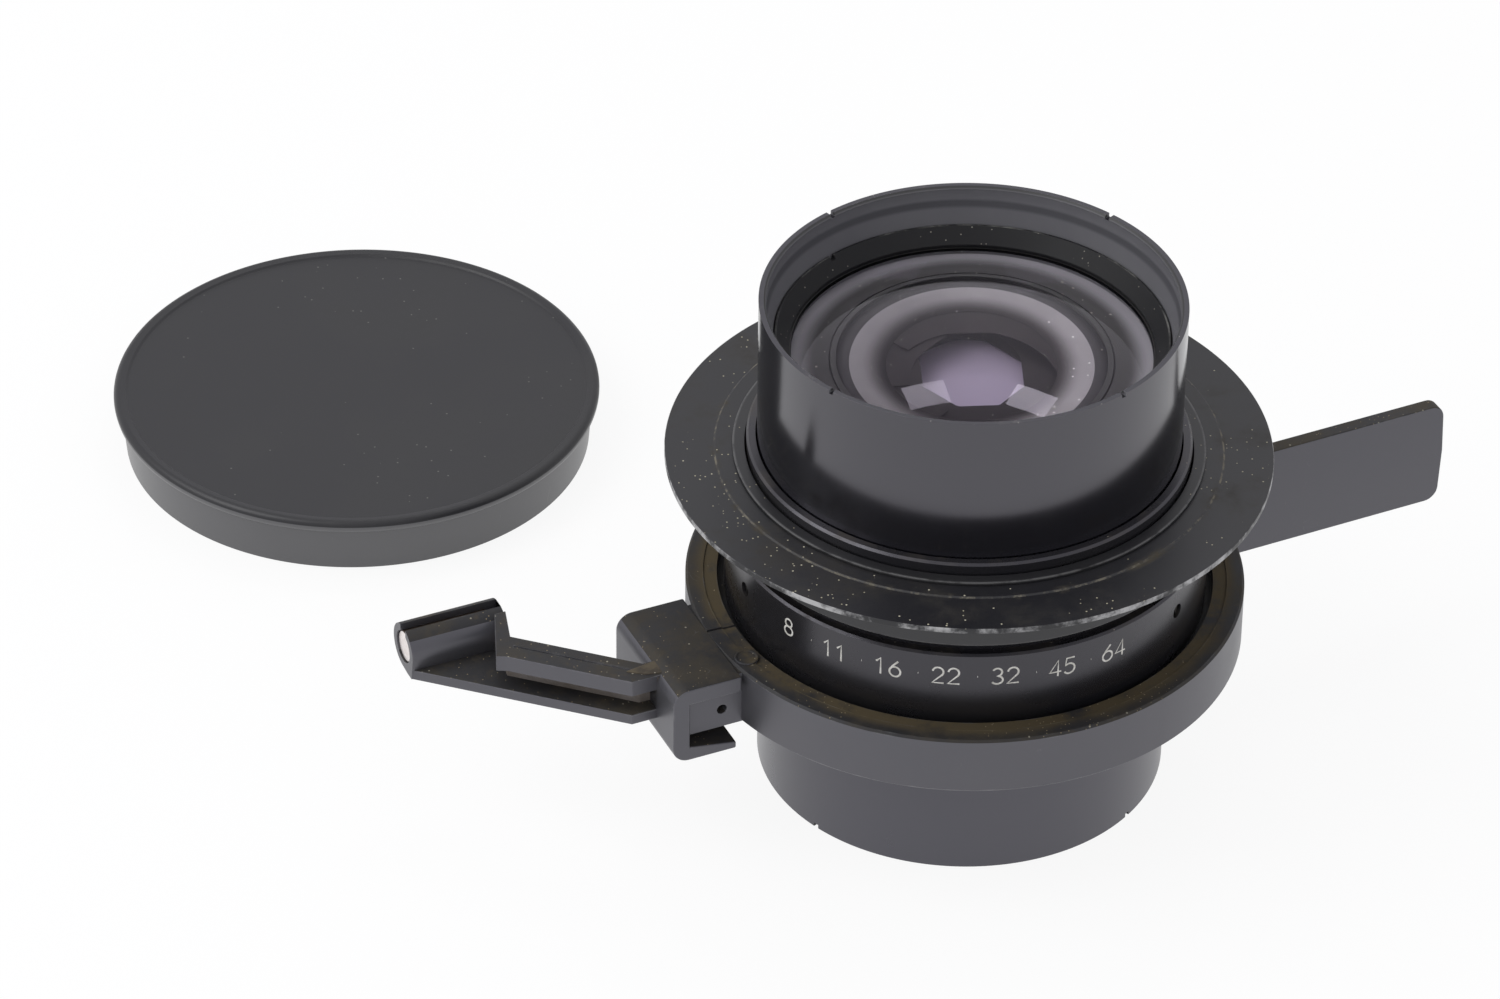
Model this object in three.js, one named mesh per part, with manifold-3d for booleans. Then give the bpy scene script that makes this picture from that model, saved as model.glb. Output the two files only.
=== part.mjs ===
// A large darkroom lens in a barrel mount, standing on its rear rim, with its slip-on cap beside it.
// A glossy front barrel screws into a body that carries a wide mounting flange. Under the flange a
// moulded lever ring turns on the body, and its drive screw and sleeve open and close an iris.
// Millimetres, +Z up along the lens axis, the rear rim on z = 0.

import * as THREE from 'three';
import { mergeVertices } from 'three/addons/utils/BufferGeometryUtils.js';
import Module from 'manifold-3d';

const wasm = await Module();
wasm.setup();

// Driving dimensions: clearances
const fitGap = 0.3;              // between pieces that are screwed or slid together
const glideGap = 0.1;            // under the lever ring, where it slides
const pinGap = 0.12;             // round a pin in its hole or slot
const cutOver = 2;               // how far a cutting solid runs past the face that it cuts

// Heights of the outside, from the rear rim upwards
const rearStand = 31.2;          // rear rim to the keeper ring
const keeperHeight = 2;
const leverHeight = 13.7;
const scaleBandHeight = 16.5;    // plain cylinder above the lever ring
const grooveHeight = 2.4;
const adapterHeight = 13.1;
const flangeThick = 1.3;
const plateauRise = 0.3;         // thicker middle of the flange
const nutHeight = 0.8;
const neckRise = 3.7;            // flange to the top of the body's neck
const hoodLength = 34.45;        // neck to the front rim

// Radii and walls of the outside
const barrelRadius = 46;
const barrelWall = 3.5;
const neckWall = 2;
const adapterWall = 4.6;
const flangeOverhang = 12.8;
const plateauWidth = 6.4;
const nutWidth = 2.7;
const bodyStep = 4.5;            // plain cylinder outside the neck
const spigotStep = 1.3;          // foot of the body, inside the bearing's radius
const grooveDepth = 2.4;
const leverWall = 8.5;
const rearStep = 0.9;            // rear barrel inside the front barrel's radius
const throatStep = 0.5;
const edgeBreak = 0.5;

// Front glass and its seat
const rimWall = 1.1;
const lipHeight = 0.6;
const hoodWall = 1.6;
const hoodDepth = 3.9;            // front rim to the foot of the straight hood
const ringDepth = 8.2;           // front rim to the retaining ring
const glassDepth = 12.55;        // front rim to the edge of the front glass
const glassEdge = 3.15;
const glassRise = 6.4;           // crown of the front glass above its edge
const threadWall = 3.2;
const pocketWall = 4.7;
const bezelWidth = 1.7;          // glass edge under the retaining ring
const ledgeWidth = 2.4;
const ledgeThick = 3.15;
const bezelLip = 0.75;
const bezelLand = 0.5;

// Inner front glass in its cell
const cellHeight = 3.1;
const cellDrop = 0.7;            // slope of the cell's upper face
const cellFloor = 0.7;
const innerSeatWall = 9.5;       // ledge of the front glass to the inner glass
const innerGlassEdge = 0.9;
const innerGlassRise = 0.9;
const innerLedge = 1.3;
const innerRingHeight = 0.8;

// Iris
const bladeCount = 8;
const bladeThick = 0.2;
const bladePitch = 0.5;          // each blade lies on its own level
const bladeWidth = 14;
const pivotInset = 9.2;          // sleeve's outside to the circle of the blade pivots
const pivotClear = 1.6;          // pivot circle to the blades' outer edge
const pinRadius = 0.7;
const lugRadius = 1.9;
const driveOut = 2.8;            // drive pin from the pivot, outwards
const driveBack = 7.6;           // drive pin from the pivot, backwards
const plateReach = 20.7;         // pivot circle to the base plate's round hole
const plateThick = 1.2;
const camThick = 1.2;
const camFoot = 3;               // cam plate inside the pivot circle
const sleeveWall = 1.3;
const restClosure = 12;          // degrees that the blades are swung in at rest
const bladeStart = -5;           // degrees of blade before and after its pivot
const bladeEnd = 128;
const leverOpen = -5;            // degrees of lever travel, from rest to each stop
const leverClosed = 32;
const bladePerLever = 0.5;       // blade degrees for each lever degree

// Rear barrel and rear glass
const tubeWall = 2.6;
const rearSeatHeight = 4.8;      // keeper ring's foot to the body's inner ledge
const rearRimWall = 1.6;
const rearRimDepth = 4;
const rearThreadWall = 2.9;
const rearGlassDepth = 10;
const rearGlassEdge = 3;
const rearGlassRise = 4.6;
const rearPocketWall = 4.8;
const rearBezelHeight = 3.4;
const rearBezelWidth = 1.5;
const relayPocketDepth = 5;
const relayPocketWall = 4.1;
const relayLedge = 2.5;
const relayLedgeThick = 1.5;
const relayEdge = 2;
const relayRise = 2.2;
const relayRingWidth = 2.7;
const relayRingHeight = 1.6;

// Lever ring moulding
const bearingHeight = 10.7;
const bearingStep = 1;           // plain cylinder over the bearing's radius
const leverGroove = 1.6;         // open groove round the plain cylinder
const greaseBand = 3;
const greaseDepth = 0.3;
const keeperWidth = 4.7;
const driveScrewRadius = 1.5;
const driveHeadRadius = 2.8;
const driveHeadDepth = 2;
const driveHeadSink = 0.4;
const driveSlotWidth = 0.8;
const driveSlotDepth = 0.8;
const driveTurn = 90;            // degrees round the axis
const travelSpare = 2;           // degrees that slots run on past each stop

// Handle
const handleTurn = 28;
const handleShift = 6.7;         // handle's middle plane behind the axis
const handleReach = 62.4;        // beyond the lever ring
const handleRise = 5.2;          // above the lever ring
const handleDrop = 7.1;          // below the lever ring
const handleThick = 5;
const handleEdge = 3.4;
const handleRound = 3.2;
const handleRoot = 3.2;

// Block, arm and rod holder
const blockTurn = 207;
const blockReach = 15.4;         // beyond the lever ring
const blockHalf = 15.6;
const blockDrop = 5.1;           // hook below the lever ring
const blockWall = 3.9;
const blockRound = 3.7;
const blockRoot = 3.7;           // web, inside the lever ring's radius
const plateRoot = 0.6;           // top plate, inside the lever ring's radius
const hookThick = 3.5;
const hookTip = 1.7;
const hookGap = 0.6;
const webRecess = 2.1;
const webHoleRadius = 1.1;
const webHoleOut = 3.1;
const webHoleDown = 9;
const webHoleDepth = 4;
const armTurn = -42.4;           // degrees from the block's outward direction
const armWidth = 7.2;
const armInset = 1.1;            // arm's height inside the lever ring's
const armTopThick = 3.9;
const armFootThick = 2.5;
const armWeb = 2.3;
const armRootOut = 5.8;          // near foot of the arm, from the block's wall
const armRootSide = 6.5;
const armReach = 28.4;           // near edge of the arm, from foot to end wall
const armFarMore = 1.9;          // far edge is longer by this
const armWallOut = 2.2;          // end wall past the near edge
const armWallBack = 1.1;
const armGrooveWidth = 0.5;
const armGrooveDepth = 0.5;
const armGrooveIn = 3.9;
const rodRadius = 3.6;
const rodLength = 19.9;
const rodInset = 0.4;
const holderWall = 1.7;
const holderEnd = 2.6;
const holderOut = 20.7;          // closed end of the holder, from the block's wall
const holderSide = 32.2;         // rod's axis to the block's middle plane
const holderSlot = 2.8;
const holderSlotSink = 0.7;      // slot's floor below the top of the bore
const holderFill = 2;            // foot under the tube, from the rod's axis
const holderJoin = 1.4;          // end wall runs this far into the tube

// Small marks on the lever ring
const markTurn = -155.3;
const markWidth = 0.7;
const markDepth = 0.4;
const bossTurn = -143.3;
const bossRadius = 2.6;
const bossIn = 3.5;
const bossHeight = 0.35;

// Grub screws that lock the barrel in the body
const grubRadius = 1.35;
const grubLength = 5;
const grubSink = 0.7;
const grubDrop = 6.3;            // below the top of the plain cylinder
const grubSlot = 0.5;
const grubTurns = { grub_screw_left: -153.6, grub_screw_right: -29.4, grub_screw_back: 88.5 };

// Spanner notches in the two rims
const notchWidth = 1.2;
const notchDepth = 0.9;
const frontNotchTurns = [134.5, 50.5, -45.7, -129.5];
const rearNotchTurns = [-132.9, -33.8, 47.1, 146.2];
const ringNotchTurns = [138, -42];

// Cap, taken off and set down beside the lens
const capRadius = 57.2;
const capHeight = 14.2;
const capSkirtStep = 1.6;
const capDraft = 0.9;
const capWall = 2;
const capPanelDrop = 0.7;
const capBeadHeight = 3.2;
const capBeadWidth = 2.8;
const capBeadStart = -60;        // degrees where the bead leaves the skirt
const capCentreLeft = 144.6;
const capCentreBack = 111.6;

// Facets
const outerSides = 40;
const innerSides = 32;
const pinSides = 8;
const screwSides = 12;
const crownSteps = 3;
const bladeSteps = 8;
const slotSteps = 6;
const mergeWithin = 1e-4;        // corners closer than this are one corner
const fullTurn = 360;            // degrees
const quarterTurn = 90;

// Radii that follow from the walls
const boreRadius = barrelRadius - barrelWall;
const neckBore = barrelRadius + fitGap;
const neckRadius = neckBore + neckWall;
const neckFit = neckRadius + fitGap;
const adapterRadius = neckFit + adapterWall;
const flangeRadius = adapterRadius + flangeOverhang;
const bodyRadius = neckRadius + bodyStep;
const bearingRadius = bodyRadius - bearingStep;
const leverBore = bearingRadius + fitGap;
const leverGrooveRadius = bodyRadius + leverGroove;
const leverRadius = bodyRadius + leverWall;
const throatRadius = boreRadius + throatStep;
const sleeveRadius = boreRadius - fitGap;
const sleeveBore = sleeveRadius - sleeveWall;
const tubeRadius = sleeveBore - fitGap;
const pivotRadius = sleeveRadius - pivotInset;
const platePierce = pivotRadius - plateReach;
const camInner = pivotRadius - camFoot;
const tubeBore = tubeRadius - tubeWall;
const rearRadius = barrelRadius - rearStep;
const pocketRadius = barrelRadius - pocketWall;
const glassRadius = pocketRadius - fitGap;
const ledgeRadius = glassRadius - ledgeWidth;
const innerGlassRadius = ledgeRadius - innerSeatWall;
const threadRadius = barrelRadius - threadWall;
const spigotRadius = bearingRadius - spigotStep;
const keeperBore = spigotRadius + fitGap;
const rodBore = rodRadius + pinGap;
const holderRadius = rodBore + holderWall;

// Heights that follow from the stack
const keeperTop = rearStand + keeperHeight;
const leverBottom = keeperTop + glideGap;
const leverTop = leverBottom + leverHeight;
const leverMiddle = leverBottom + leverHeight / 2;
const bearingTop = leverBottom + bearingHeight;
const bodyTop = leverTop + scaleBandHeight;
const barrelSeat = bodyTop + edgeBreak;
const shoulder = bodyTop + grooveHeight;
const flangeBottom = shoulder + adapterHeight;
const flangeTop = flangeBottom + flangeThick;
const plateauTop = flangeTop + plateauRise;
const neckTop = flangeTop + neckRise;
const hoodTop = neckTop + hoodLength;
const glassTop = hoodTop - glassDepth;
const glassSeat = glassTop - glassEdge;
const ledgeBottom = glassSeat - ledgeThick;
const cellBottom = ledgeBottom - cellHeight;
const camTop = cellBottom - fitGap;
const camBottom = camTop - camThick;
const topBlade = camBottom - fitGap - bladeThick;
const plateTop = topBlade - (bladeCount - 1) * bladePitch - fitGap;
const plateBottom = plateTop - plateThick;
const rearLedge = rearStand + rearSeatHeight;
const driveHeight = leverBottom + bearingHeight / 2;

// Materials
const finish = (color, roughness, metalness) =>
  new THREE.MeshStandardMaterial({ color, roughness, metalness });
const glossBlack = finish(0x17181b, 0.25, 0.6);
const satinBlack = finish(0x25262a, 0.5, 0.5);
const mattBlack = finish(0x101012, 0.85, 0.1);
const moulded = finish(0x3a3c41, 0.6, 0);
const bladeSteel = finish(0x4a4b50, 0.45, 0.8);
const plainSteel = finish(0x8c8f94, 0.35, 0.9);
const rodMetal = finish(0xcfc8c6, 0.3, 0.9);
const brassMetal = finish(0x9a8350, 0.4, 0.9);
const clearGlass = finish(0xa9a4c4, 0.05, 0);
const capPlastic = finish(0x1b1c1f, 0.55, 0);

// Solids and meshes
const radians = THREE.MathUtils.degToRad;
const at = (turn, radius) =>
  new THREE.Vector2(Math.cos(radians(turn)) * radius, Math.sin(radians(turn)) * radius);

function solidFrom(geometry) {
  geometry.deleteAttribute('normal');
  geometry.deleteAttribute('uv');
  const merged = mergeVertices(geometry, mergeWithin);
  const flat = merged.index.array;
  return new wasm.Manifold(new wasm.Mesh({
    numProp: 3,
    vertProperties: new Float32Array(merged.attributes.position.array),
    triVerts: new Uint32Array(flat),
  }));
}

function meshFrom(name, material, solid) {
  const data = solid.getMesh();
  const geometry = new THREE.BufferGeometry();
  geometry.setAttribute('position', new THREE.BufferAttribute(data.vertProperties, 3));
  geometry.setIndex(new THREE.BufferAttribute(data.triVerts, 1));
  geometry.computeVertexNormals();
  const mesh = new THREE.Mesh(geometry, material);
  mesh.name = name;
  return mesh;
}

// A ring or disc turned from an outline of [radius, height] points
function turned(outline, sides) {
  const points = outline.map(([radius, height]) => new THREE.Vector2(radius, height));
  if (THREE.ShapeUtils.area(points) > 0) points.reverse();
  const onAxis = points.findIndex((point) => point.x === 0);
  if (onAxis < 0) {
    points.push(points[0].clone());
  } else {
    while (points[0].x !== 0 || points[points.length - 1].x !== 0) points.push(points.shift());
  }
  points.reverse();
  const geometry = new THREE.LatheGeometry(points, sides);
  geometry.rotateX(Math.PI / 2);
  geometry.scale(1, -1, 1);
  return solidFrom(flipped(geometry));
}

function flipped(geometry) {
  const index = geometry.index.array;
  for (let corner = 0; corner < index.length; corner += 3) {
    [index[corner], index[corner + 1]] = [index[corner + 1], index[corner]];
  }
  return geometry;
}

// An outline in the XY plane raised from one height to another
function raised(outline, bottom, top) {
  const shape = outline instanceof THREE.Shape ? outline : new THREE.Shape(outline);
  const options = { depth: top - bottom, bevelEnabled: false, curveSegments: bladeSteps };
  return solidFrom(new THREE.ExtrudeGeometry(shape, options)).translate([0, 0, bottom]);
}

// An outline of [outward, height] points pushed sideways from one side to the other
function pushed(outline, from, to) {
  const solid = raised(outline, from, to);
  return solid.rotate([quarterTurn, 0, 0]).mirror([0, 1, 0]);
}

function pin(radius, bottom, top, sides) {
  const geometry = new THREE.CylinderGeometry(radius, radius, top - bottom, sides);
  return solidFrom(geometry).rotate([quarterTurn, 0, 0]).translate([0, 0, (top + bottom) / 2]);
}

// A pin that lies along +X from one distance to another
function sidePin(radius, from, to, sides) {
  return pin(radius, from, to, sides).rotate([0, quarterTurn, 0]);
}

function block(fromX, toX, fromY, toY, fromZ, toZ) {
  const geometry = new THREE.BoxGeometry(toX - fromX, toY - fromY, toZ - fromZ);
  return solidFrom(geometry)
    .translate([(fromX + toX) / 2, (fromY + toY) / 2, (fromZ + toZ) / 2]);
}

// A sector of a ring, for slots that let a pin travel round the axis
function sector(inner, outer, fromTurn, toTurn, bottom, top) {
  const shape = new THREE.Shape();
  shape.absarc(0, 0, outer, radians(fromTurn), radians(toTurn), false);
  shape.absarc(0, 0, inner, radians(toTurn), radians(fromTurn), true);
  return raised(shape, bottom, top);
}

function notched(solid, turns, radius, wall, height) {
  return turns.reduce((left, turn) => left.subtract(
    block(radius - wall - cutOver, radius + cutOver, -notchWidth / 2, notchWidth / 2,
      height - notchDepth, height + notchDepth).rotate([0, 0, turn])), solid);
}

// Points of a shallow glass crown, from the axis to the edge
function crown(radius, edgeHeight, rise) {
  const points = [];
  for (let step = 0; step <= crownSteps; step += 1) {
    const share = step / crownSteps;
    points.push([radius * share, edgeHeight + rise * (1 - share * share)]);
  }
  return points;
}

function lensGlass(name, radius, bezel, edgeBottom, edgeTop, riseUp, riseDown) {
  const clear = radius - bezel - fitGap;
  const top = riseUp === 0 ? [[0, edgeTop]] : crown(clear, edgeTop, riseUp);
  const bottom = riseDown === 0 ? [[0, edgeBottom]] : crown(clear, edgeBottom, -riseDown);
  const outline = [...top, [radius, edgeTop], [radius, edgeBottom], ...bottom.reverse()];
  return meshFrom(name, clearGlass, turned(outline, innerSides));
}

// Fixed outside of the lens
function mainBody() {
  const outline = [
    [rearRadius + fitGap, rearStand], [spigotRadius, rearStand],
    [spigotRadius, keeperTop], [bearingRadius, keeperTop],
    [bearingRadius, bearingTop + fitGap], [bodyRadius, bearingTop + fitGap],
    [bodyRadius, bodyTop - edgeBreak], [bodyRadius - edgeBreak, bodyTop],
    [bodyRadius - grooveDepth, bodyTop], [bodyRadius - grooveDepth, shoulder],
    [neckRadius, shoulder], [neckRadius, neckTop - edgeBreak],
    [neckRadius - edgeBreak, neckTop], [neckBore, neckTop],
    [neckBore, barrelSeat], [throatRadius, barrelSeat],
    [throatRadius, rearLedge], [rearRadius + fitGap, rearLedge],
  ];
  const reach = driveScrewRadius + fitGap;
  const spare = THREE.MathUtils.radToDeg(reach / throatRadius) + travelSpare;
  const driveSlot = sector(throatRadius - cutOver, bodyRadius + cutOver,
    driveTurn + leverOpen - spare, driveTurn + leverClosed + spare,
    driveHeight - reach, driveHeight + reach);
  let solid = turned(outline, outerSides).subtract(driveSlot);
  for (const turn of Object.values(grubTurns)) {
    const hole = sidePin(grubRadius + fitGap, bodyRadius - grubSink - grubLength,
      bodyRadius + cutOver, screwSides);
    solid = solid.subtract(hole.translate([0, 0, bodyTop - grubDrop]).rotate([0, 0, turn]));
  }
  return meshFrom('main_body', satinBlack, solid);
}

function grubScrew(name, turn) {
  const tip = bodyRadius - grubSink - grubLength;
  const body = sidePin(grubRadius, tip, tip + grubLength, screwSides);
  const slot = block(tip + grubLength - grubSlot, tip + grubLength + cutOver,
    -grubRadius - cutOver, grubRadius + cutOver, -grubSlot / 2, grubSlot / 2);
  const solid = body.subtract(slot).translate([0, 0, bodyTop - grubDrop]).rotate([0, 0, turn]);
  return meshFrom(name, plainSteel, solid);
}

function adapterRing() {
  return meshFrom('adapter_ring', satinBlack, turned([
    [neckFit, shoulder], [adapterRadius - edgeBreak, shoulder],
    [adapterRadius, shoulder + edgeBreak], [adapterRadius, flangeBottom],
    [neckFit, flangeBottom],
  ], outerSides));
}

function flange() {
  const plateau = neckFit + plateauWidth;
  return meshFrom('mounting_flange', satinBlack, turned([
    [neckFit, flangeBottom], [flangeRadius, flangeBottom], [flangeRadius, flangeTop],
    [plateau + plateauRise, flangeTop], [plateau, plateauTop], [neckFit, plateauTop],
  ], outerSides));
}

function flangeNut() {
  const outer = neckFit + nutWidth;
  return meshFrom('flange_nut', satinBlack, turned([
    [neckFit, plateauTop], [outer, plateauTop], [outer, plateauTop + nutHeight],
    [neckFit, plateauTop + nutHeight],
  ], outerSides));
}

function frontBarrel() {
  const solid = turned([
    [boreRadius, barrelSeat], [barrelRadius, barrelSeat], [barrelRadius, hoodTop],
    [barrelRadius - rimWall, hoodTop], [barrelRadius - hoodWall, hoodTop - lipHeight],
    [barrelRadius - hoodWall, hoodTop - hoodDepth], [threadRadius, hoodTop - ringDepth],
    [threadRadius, glassTop], [pocketRadius, glassTop], [pocketRadius, glassSeat],
    [ledgeRadius, glassSeat], [ledgeRadius, ledgeBottom], [boreRadius, ledgeBottom],
  ], outerSides);
  return meshFrom('front_barrel', glossBlack,
    notched(solid, frontNotchTurns, barrelRadius, hoodWall, hoodTop));
}

function frontRing() {
  const inner = glassRadius - bezelWidth;
  const outer = threadRadius - fitGap;
  const top = hoodTop - ringDepth - fitGap;
  const solid = turned([
    [inner, glassTop], [outer, glassTop], [outer, top],
    [outer - bezelLand, top], [inner, glassTop + bezelLip],
  ], outerSides);
  return meshFrom('front_retaining_ring', mattBlack,
    notched(solid, ringNotchTurns, outer, 0, top));
}

function frontCell() {
  const pocket = innerGlassRadius + fitGap;
  const solid = turned([
    [innerGlassRadius - innerLedge, cellBottom], [sleeveRadius, cellBottom],
    [sleeveRadius, ledgeBottom], [ledgeRadius, ledgeBottom],
    [pocket, ledgeBottom - cellDrop], [pocket, cellBottom + cellFloor],
    [innerGlassRadius - innerLedge, cellBottom + cellFloor],
  ], innerSides);
  return meshFrom('front_cell', mattBlack, solid);
}

function innerRing() {
  const bottom = cellBottom + cellFloor + innerGlassEdge;
  return meshFrom('inner_retaining_ring', satinBlack, turned([
    [innerGlassRadius - innerLedge, bottom], [innerGlassRadius, bottom],
    [innerGlassRadius, bottom + innerRingHeight],
    [innerGlassRadius - innerLedge, bottom + innerRingHeight],
  ], innerSides));
}

// Iris: a fixed plate, blades on pivots, and a cam on a long sleeve
function basePlate() {
  let solid = turned([
    [platePierce, plateBottom], [tubeRadius, plateBottom],
    [tubeRadius, plateTop], [platePierce, plateTop],
  ], innerSides);
  for (let blade = 0; blade < bladeCount; blade += 1) {
    const hole = pin(pinRadius + pinGap, plateBottom - cutOver, plateTop + cutOver, pinSides);
    solid = solid.subtract(
      hole.translate([pivotRadius, 0, 0]).rotate([0, 0, blade * fullTurn / bladeCount]));
  }
  return meshFrom('iris_base_plate', satinBlack, solid);
}

function irisBlade(blade) {
  const level = topBlade - blade * bladePitch;
  const outer = pivotRadius - pivotClear;
  const leaf = sector(outer - bladeWidth, outer, bladeStart, bladeEnd, level, level + bladeThick)
    .translate([-pivotRadius, 0, 0]).rotate([0, 0, restClosure]);
  const lug = pin(lugRadius, level, level + bladeThick, pinSides);
  const driveLug = lug.translate([driveOut, -driveBack, 0]);
  const arm = wasm.Manifold.hull([lug, driveLug]);
  const pivot = pin(pinRadius, plateBottom, level + bladeThick, pinSides);
  const drive = pin(pinRadius, level, camTop, pinSides).translate([driveOut, -driveBack, 0]);
  const solid = leaf.add(arm).add(pivot).add(drive)
    .translate([pivotRadius, 0, 0]).rotate([0, 0, blade * fullTurn / bladeCount]);
  return meshFrom(`iris_blade_${blade + 1}`, bladeSteel, solid);
}

// Where a drive pin lies on the cam when the lever has turned by so many degrees
function drivePinOnCam(leverTurn) {
  const swing = radians(leverTurn * bladePerLever);
  return new THREE.Vector2(driveOut, -driveBack)
    .rotateAround(new THREE.Vector2(), swing)
    .add(new THREE.Vector2(pivotRadius, 0))
    .rotateAround(new THREE.Vector2(), radians(-leverTurn));
}

function camSlot() {
  const half = pinRadius + pinGap;
  const from = leverOpen - travelSpare;
  const to = leverClosed + travelSpare;
  const left = [];
  const right = [];
  for (let step = 0; step <= slotSteps; step += 1) {
    const turn = from + (to - from) * step / slotSteps;
    const centre = drivePinOnCam(turn);
    const ahead = drivePinOnCam(turn + travelSpare)
      .sub(drivePinOnCam(turn - travelSpare)).normalize();
    const side = new THREE.Vector2(-ahead.y, ahead.x).multiplyScalar(half);
    left.push(centre.clone().add(side));
    right.unshift(centre.clone().sub(side));
  }
  return raised([...left, ...right].reverse(), camBottom - cutOver, camTop + cutOver);
}

function camSleeve() {
  let solid = turned([
    [sleeveBore, rearLedge + fitGap], [sleeveRadius, rearLedge + fitGap],
    [sleeveRadius, camTop], [camInner, camTop],
    [camInner, camBottom], [sleeveBore, camBottom],
  ], innerSides);
  const slot = camSlot();
  for (let blade = 0; blade < bladeCount; blade += 1) {
    solid = solid.subtract(slot.rotate([0, 0, blade * fullTurn / bladeCount]));
  }
  const hole = sidePin(driveScrewRadius + pinGap, sleeveBore - cutOver,
    sleeveRadius + cutOver, screwSides);
  solid = solid.subtract(hole.translate([0, 0, driveHeight]).rotate([0, 0, driveTurn]));
  return meshFrom('iris_cam_sleeve', brassMetal, solid);
}

function driveScrew() {
  const head = leverRadius - driveHeadSink;
  const shank = sidePin(driveScrewRadius, sleeveBore, head, screwSides);
  const cap = sidePin(driveHeadRadius, head - driveHeadDepth, head, screwSides);
  const slot = block(head - driveSlotDepth, head + cutOver, -driveHeadRadius - cutOver,
    driveHeadRadius + cutOver, -driveSlotWidth / 2, driveSlotWidth / 2);
  const solid = shank.add(cap).subtract(slot);
  return meshFrom('drive_screw', plainSteel,
    solid.translate([0, 0, driveHeight]).rotate([0, 0, driveTurn]));
}

// Lever ring: one moulding with a handle, a hooked block, an arm and a rod holder
function leverBearing() {
  const solid = turned([
    [leverBore, leverBottom], [leverRadius - edgeBreak, leverBottom],
    [leverRadius, leverBottom + edgeBreak], [leverRadius, leverTop - edgeBreak],
    [leverRadius - edgeBreak, leverTop], [leverGrooveRadius + greaseBand, leverTop],
    [leverGrooveRadius + greaseBand, leverTop - greaseDepth],
    [leverGrooveRadius, leverTop - greaseDepth], [leverGrooveRadius, bearingTop],
    [leverBore, bearingTop],
  ], outerSides);
  const boss = pin(bossRadius, leverTop - greaseDepth - markDepth, leverTop + bossHeight,
    screwSides).translate([leverRadius - bossIn, 0, 0]).rotate([0, 0, bossTurn]);
  return solid.add(boss);
}

// Rounded corner points, clockwise or not, about a centre
function rounded(centreX, centreY, radius, fromTurn, toTurn) {
  const points = [];
  for (let step = 0; step <= crownSteps; step += 1) {
    const turn = fromTurn + (toTurn - fromTurn) * step / crownSteps;
    const spoke = at(turn, radius);
    points.push(new THREE.Vector2(centreX + spoke.x, centreY + spoke.y));
  }
  return points;
}

function handle() {
  const bottom = leverBottom - handleDrop;
  const top = leverTop + handleRise;
  const root = leverRadius - handleRoot;
  const end = leverRadius + handleReach;
  const side = [
    new THREE.Vector2(root, bottom),
    ...rounded(end - handleRound, bottom + handleRound, handleRound, -quarterTurn, 0),
    ...rounded(end - handleRound, top - handleRound, handleRound, 0, quarterTurn),
    new THREE.Vector2(root, top),
  ];
  const plate = pushed(side, -handleThick / 2, handleThick / 2);
  const section = [
    [-handleEdge / 2, bottom], [-handleThick / 2, leverMiddle], [-handleEdge / 2, top],
    [handleEdge / 2, top], [handleThick / 2, leverMiddle], [handleEdge / 2, bottom],
  ].map(([x, y]) => new THREE.Vector2(x, y));
  const drafted = pushed(section.reverse(), -end - cutOver, end + cutOver).rotate([0, 0, quarterTurn]);
  return plate.intersect(drafted).translate([0, handleShift, 0]).rotate([0, 0, handleTurn]);
}

function hookedBlock() {
  const root = leverRadius - blockRoot;
  const plate = leverRadius - plateRoot;
  const outer = leverRadius + blockReach;
  const inner = outer - blockWall;
  const foot = leverBottom - blockDrop;
  const tip = leverRadius + hookGap;
  const shell = [
    new THREE.Vector2(plate, leverTop - blockWall),
    new THREE.Vector2(inner, leverTop - blockWall),
    new THREE.Vector2(inner, foot + hookThick),
    new THREE.Vector2(tip, foot + hookTip),
    new THREE.Vector2(tip, foot),
    ...rounded(outer - blockRound, foot + blockRound, blockRound, -quarterTurn, 0),
    ...rounded(outer - blockRound, leverTop - blockRound, blockRound, 0, quarterTurn),
    new THREE.Vector2(plate, leverTop),
  ];
  const channel = pushed(shell, -blockHalf, blockHalf);
  const web = block(root, inner + edgeBreak, webRecess - blockHalf, blockHalf - webRecess,
    leverBottom, leverTop - edgeBreak);
  const holeFace = blockHalf - webRecess;
  const hole = pin(webHoleRadius, holeFace - webHoleDepth, holeFace + cutOver, screwSides)
    .rotate([-quarterTurn, 0, 0]).translate([leverRadius + webHoleOut, 0, leverTop - webHoleDown]);
  return channel.add(web).subtract(hole);
}

// Plan of the arm in the block's own directions, outwards and sideways
function armPlan() {
  const wall = leverRadius + blockReach;
  const start = wall + holderOut;
  const boreStart = start + holderEnd;
  const tip = boreStart + rodLength;
  const join = holderRadius - holderSide - holderJoin;
  const nearStart = new THREE.Vector2(wall + armRootOut, armRootSide);
  const nearEnd = nearStart.clone().add(at(armTurn, armReach));
  const farStart = nearStart.clone().add(at(armTurn - quarterTurn, armWidth));
  const farEnd = farStart.clone().add(at(armTurn, armReach + armFarMore));
  const nearLength = (tip - nearStart.x) / Math.cos(radians(armTurn));
  const nearTip = nearStart.clone().add(at(armTurn, nearLength));
  const near = [nearEnd, nearStart, new THREE.Vector2(wall - blockWall, nearStart.y)];
  const far = [new THREE.Vector2(wall - blockWall, farStart.y), farStart, farEnd];
  const endWall = [
    new THREE.Vector2(start, join), new THREE.Vector2(boreStart, join),
    new THREE.Vector2(nearEnd.x + armWallOut, nearEnd.y - armWallBack),
  ];
  return { start, boreStart, tip, near, far, endWall, nearTip };
}

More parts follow.
